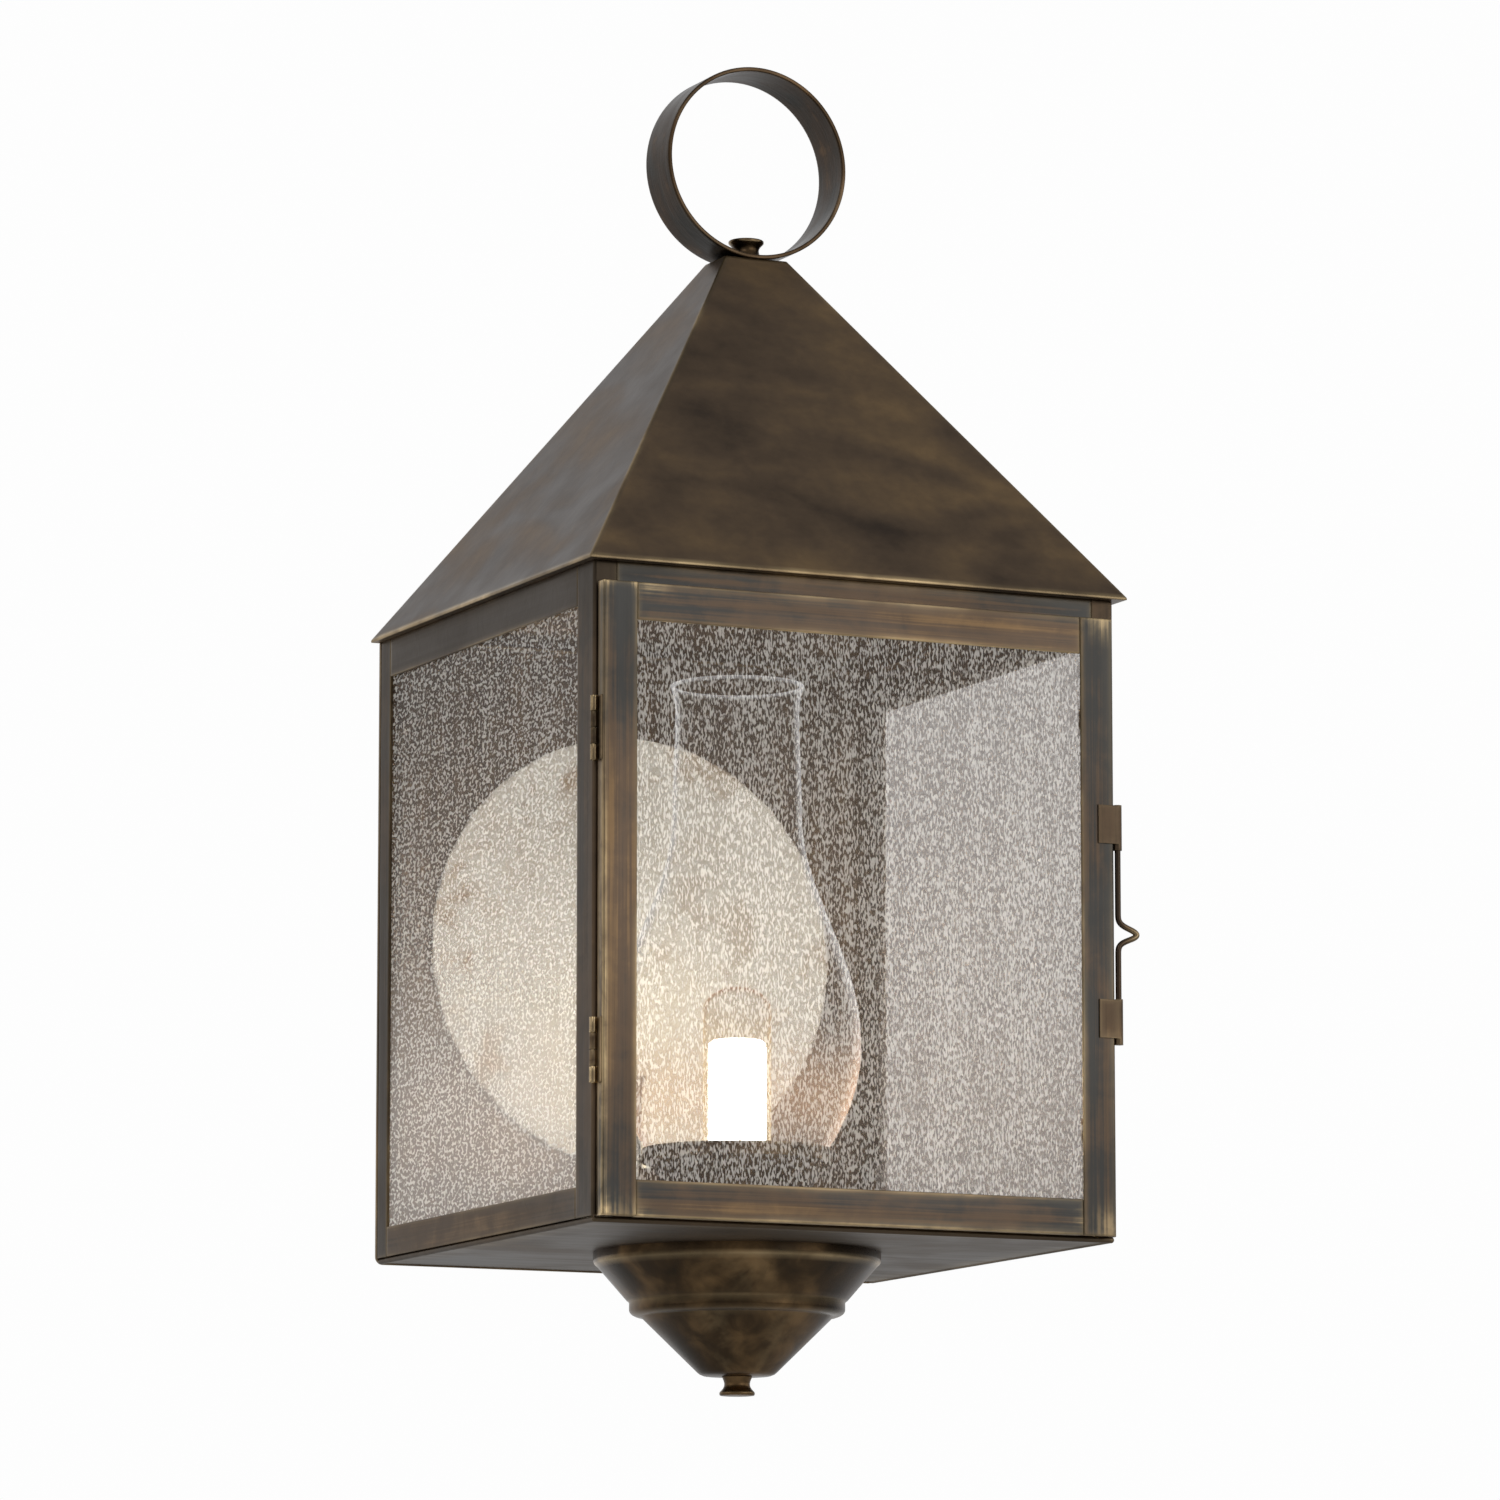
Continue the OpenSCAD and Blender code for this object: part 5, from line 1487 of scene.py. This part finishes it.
@dataclass
class Reflector:
    """The pleated reflector, and what stands at the plate behind it. Sizes are in mm.

    Attributes:
        shop: where its pieces are made.
        radius: the dish's radius.
        crown: how far its middle stands from its rear.
        rear: the rear's distance from the wall.
        thick: its thickness.
        pleats: how many pleats its border has.
        rise: a pleat's height.
        start: the radius at which the pleats begin.
        flat: the radius of its level middle.
        notch: half the width of the notch at its foot.
        notch_z: the frame's z under which the notch is cut, in metres.
        bloom: the radius and reach of the brown bloom.
        lamp: how far below the middle the painted lamplight is strongest, and its reach.
    """

    shop: Workshop
    radius: float = 83.4
    crown: float = 12.5
    rear: float = 1.5
    thick: float = 0.8
    pleats: int = 24
    rise: float = 1.2
    start: float = 48.0
    flat: float = 8.0
    notch: float = 3.3
    notch_z: float = -0.0484
    bloom: Pair = (74.0, 9.0)
    lamp: float = 55.0

    def build(self) -> None:
        """Makes the dish and its fittings.

        The dish falls by a smooth step of the radius from its crown to its rim, and carries
        rounded saw teeth that grow towards the rim.
        """
        r = np.concatenate([np.linspace(1.55, self.start, 34),
                            np.linspace(self.start, self.radius, 28)[1:]])[:, None]
        turn = np.linspace(0, TURN, self.pleats * 10, endpoint=False)[None, :]
        rim = 0.2 + self.thick + self.rise / 2
        wave = np.arcsin(0.96 * np.cos(turn * self.pleats)) / np.arcsin(0.96) * 0.5 * self.rise
        height = self.crown + (rim - self.crown) * smooth_step((r / self.radius) ** 1.15)
        height = height + wave * np.clip((r - self.start) / (self.radius - self.start), 0, 1)
        height = np.where(r <= self.flat, self.crown, height)
        x, z = r * np.cos(turn), r * np.sin(turn)
        front, back = (np.stack([x, lift - self.rear - height, z], -1) * MM
                       for lift in (0.0, self.thick))
        skin = Skin()
        # The mark edge carries painted lamplight, strongest near the lamp.
        skin.grid(front, closed_v=True, rub=0.35 + 0.65 * bell(r, *self.bloom),
                  edge=0.75 + 0.25 * bell(np.hypot(x, z + self.lamp), 0, self.lamp))
        skin.grid(back, closed_v=True)
        for row in (0, -1):
            skin.grid(np.stack([front[row], back[row]]), closed_v=True, rub=0.8)
        mesh = skin.mesh("dressed_reflector")
        self.cut_notch(mesh)
        self.shop.hang(mesh, Finish.REFLECTOR, ["reflector"], 50)
        self.shop.fold("reflector_screw", Finish.REFLECTOR, 0.15, 4)
        self.shop.fold("ground_screw", Finish.GREEN, 0.2, 5)
        self.shop.finish_nodes(Finish.MACHINED, "reflector_standoff")
        self.shop.finish_nodes(Finish.RUBBER, "wire_bushing")

    def cut_notch(self, mesh: bpy.types.Mesh) -> None:
        """Takes the notch's faces out of the dish.

        Args:
            mesh: the dish's mesh.
        """
        work = bmesh.new()
        work.from_mesh(mesh)
        gone = [face for face in work.faces
                if abs(face.calc_center_median().x) < self.notch * MM
                and face.calc_center_median().z < self.notch_z]
        bmesh.ops.delete(work, geom=gone, context="FACES")
        work.to_mesh(mesh)
        work.free()


@dataclass
class Holder:
    """The cup, the socket, what holds them, and the leads. Sizes are in mm.

    Attributes:
        shop: where its pieces are made.
        socket: rows of radius and height above the bottom edge.
        lead: a lead's radius.
        lead_route: y and height of a lead's corners, from the supply hole down behind the
            reflector, through the pan and up the nipple.
        bend: the reach of a lead's bends, and its greatest spacing.
    """

    shop: Workshop
    socket: Sequence[Pair] = (
        (4.9, 6.2), (16.6, 6.2), (17.3, 6.6), (17.5, 7.4), (17.5, 14), (16.9, 14.6), (16.9, 15.6),
        (17.5, 16.2), (17.5, 31), (17.2, 33.4), (16.6, 34.2), (14.2, 34.2), (13.6, 33.8),
        (13.6, 12.2), (0.0, 12.2))
    lead: float = 1.1
    lead_route: Sequence[Pair] = (
        (-0.6, 99.0), (-6.5, 99.0), (-6.5, 81.0), (-4.0, 65.0), (-4.0, 5.8), (-7.0, 3.0),
        (-54.0, 3.0), (-56.0, 0.7), (-57.0, -6.0), (-61.0, -12.0), (LAMP_Y + 5, -13.0),
        (LAMP_Y, -10.0), (LAMP_Y, 9.4))
    bend: float = 4.0

    def build(self) -> None:
        """Makes the pieces of the holder."""
        self.shop.fold("chimney_cup", Finish.SPUN, 0.2, 12)
        self.shop.turn(self.socket, "socket", Finish.PORCELAIN, 64)
        self.shop.finish_nodes(Finish.MACHINED, "screw_shell", "contact_tab", "lamp_nipple")
        self.shop.fold("nipple_nuts", Finish.MACHINED, 0.25, 6)
        for node, x, finish in (("lead_black", -1.4, Finish.RUBBER),
                                ("lead_white", 1.4, Finish.WHITE_LEAD)):
            corners = [(x, y, z - MOUNT_H) for y, z in self.lead_route]
            skin = Skin()
            skin.sweep(rounded(corners, self.bend, 6, self.bend) * MM, self.lead * MM, 16)
            self.shop.make(skin, node, finish, 70)


@dataclass
class Studio:
    """Camera, world, lights and floor, in metres and watts.

    Attributes:
        eye: where the camera stands.
        aim: what it looks at.
        lens: its focal length, in mm.
        target: what the lights look at.
        boxes: name, place, size and power of the soft boxes.
        white: the background's brightness.
        room: the colour of the light all round.
        floor: half the floor's side, its steps and its height.
    """

    eye: Triple = (-1.1983, -2.6759, -0.3656)
    aim: Triple = (0.01417, -0.080, 0.06944)
    lens: float = 183.55
    target: Triple = (0.0, -0.1, 0.05)
    boxes: Sequence[tuple[str, Triple, float, float]] = (
        ("key", (-1.7, -1.9, 1.7), 1.4, 9.0), ("front", (1.35, -2.9, 0.5), 2.0, 15.0),
        ("side", (-2.4, -0.2, 0.3), 1.2, 3.5), ("right", (2.4, -0.8, 0.6), 1.2, 5.0))
    white: float = 0.985
    room: Colour = (0.97, 0.98, 1.0)
    floor: tuple[float, int, float] = (4.0, 24, -1.6)

    def place(self, name: str, data: bpy.types.ID, spot: Triple, aim: Triple) -> bpy.types.Object:
        """Stands a camera or a lamp in the scene.

        Args:
            name: its name.
            data: its data.
            spot: where it stands.
            aim: what it looks at.

        Returns:
            The object.
        """
        made = bpy.data.objects.new(name, data)
        made.location = spot
        made.rotation_euler = (Vector(aim) - Vector(spot)).to_track_quat("-Z", "Y").to_euler()
        bpy.context.scene.collection.objects.link(made)
        return made

    def build(self) -> None:
        """Makes the camera where the photograph was taken, the lights, the world and the floor."""
        data = bpy.data.cameras.new("camera")
        data.lens, data.sensor_width = self.lens, 36.0
        data.clip_start, data.clip_end = 0.1, 50.0
        bpy.context.scene.camera = self.place("camera", data, self.eye, self.aim)
        for name, spot, size, power in self.boxes:
            data = bpy.data.lights.new(name, "AREA")
            data.shape, data.size, data.energy = "SQUARE", size, power
            self.place(name, data, spot, self.target)
        self.surround()
        self.lay_floor()

    def surround(self) -> None:
        """Makes a white background, which gloss sees behind the lantern, and a softer light."""
        bpy.context.scene.world = bpy.data.worlds.new("studio")
        s = Nodes(bpy.context.scene.world, "OutputWorld")
        camera, through, glossy = s.light_path("Camera", "Transmission", "Glossy")
        split = s.node("SeparateXYZ", Vector=s.take("TexCoord", "Generated"))
        y, z = (Signal(s, split.outputs[axis]) for axis in "YZ")
        behind = y.remap(0.2, 0.95, 0.0, 0.5, "LINEAR")
        above = z.remap(-0.5, 0.35, 0.24, 0.44, "LINEAR")
        seen = s.math("MAXIMUM", s.math("MAXIMUM", camera, through), glossy * behind)
        soft = s.take("Background", Color=self.room, Strength=behind * 0.48 + above)
        white = s.take("Background", Color=(1.0, 1.0, 1.0), Strength=self.white)
        s.show(s.take("MixShader", i0=seen, i1=soft, i2=white))

    def lay_floor(self) -> None:
        """Lays the pale floor, well below the lantern."""
        side, steps, height = self.floor
        u = np.linspace(-side, side, steps)
        x, y = np.meshgrid(u, u, indexing="ij")
        skin = Skin()
        skin.grid(np.stack([x, y, np.full_like(x, height)], -1))
        mesh = skin.mesh("floor")
        mesh.materials.append(FloorLook().material("floor_pale"))
        floor = bpy.data.objects.new("floor", mesh)
        bpy.context.scene.collection.objects.link(floor)


def main() -> None:
    """Builds the scene."""
    logging.basicConfig(level=logging.INFO)
    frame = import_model()
    bpy.context.scene.view_settings.view_transform = "Standard"
    record = frame["record"]
    body_of = {n: body for body, names in record["behaviour"]["bodies"].items() for n in names}
    slot_of = {s["node"]: s["material_slot"] for s in record["subparts"]}
    materials = {finish: look.material(finish.value) for finish, look in LOOKS.items()}
    shop = Workshop(frame["nodes"], body_of, slot_of, materials)
    Studio().build()
    for part in (Cage, Top, Door, Panes, Chimney, Bulb, Cone, Reflector, Holder):
        part(shop).build()
        log.info("built %s", part.__name__)


if __name__ == "__main__":
    main()
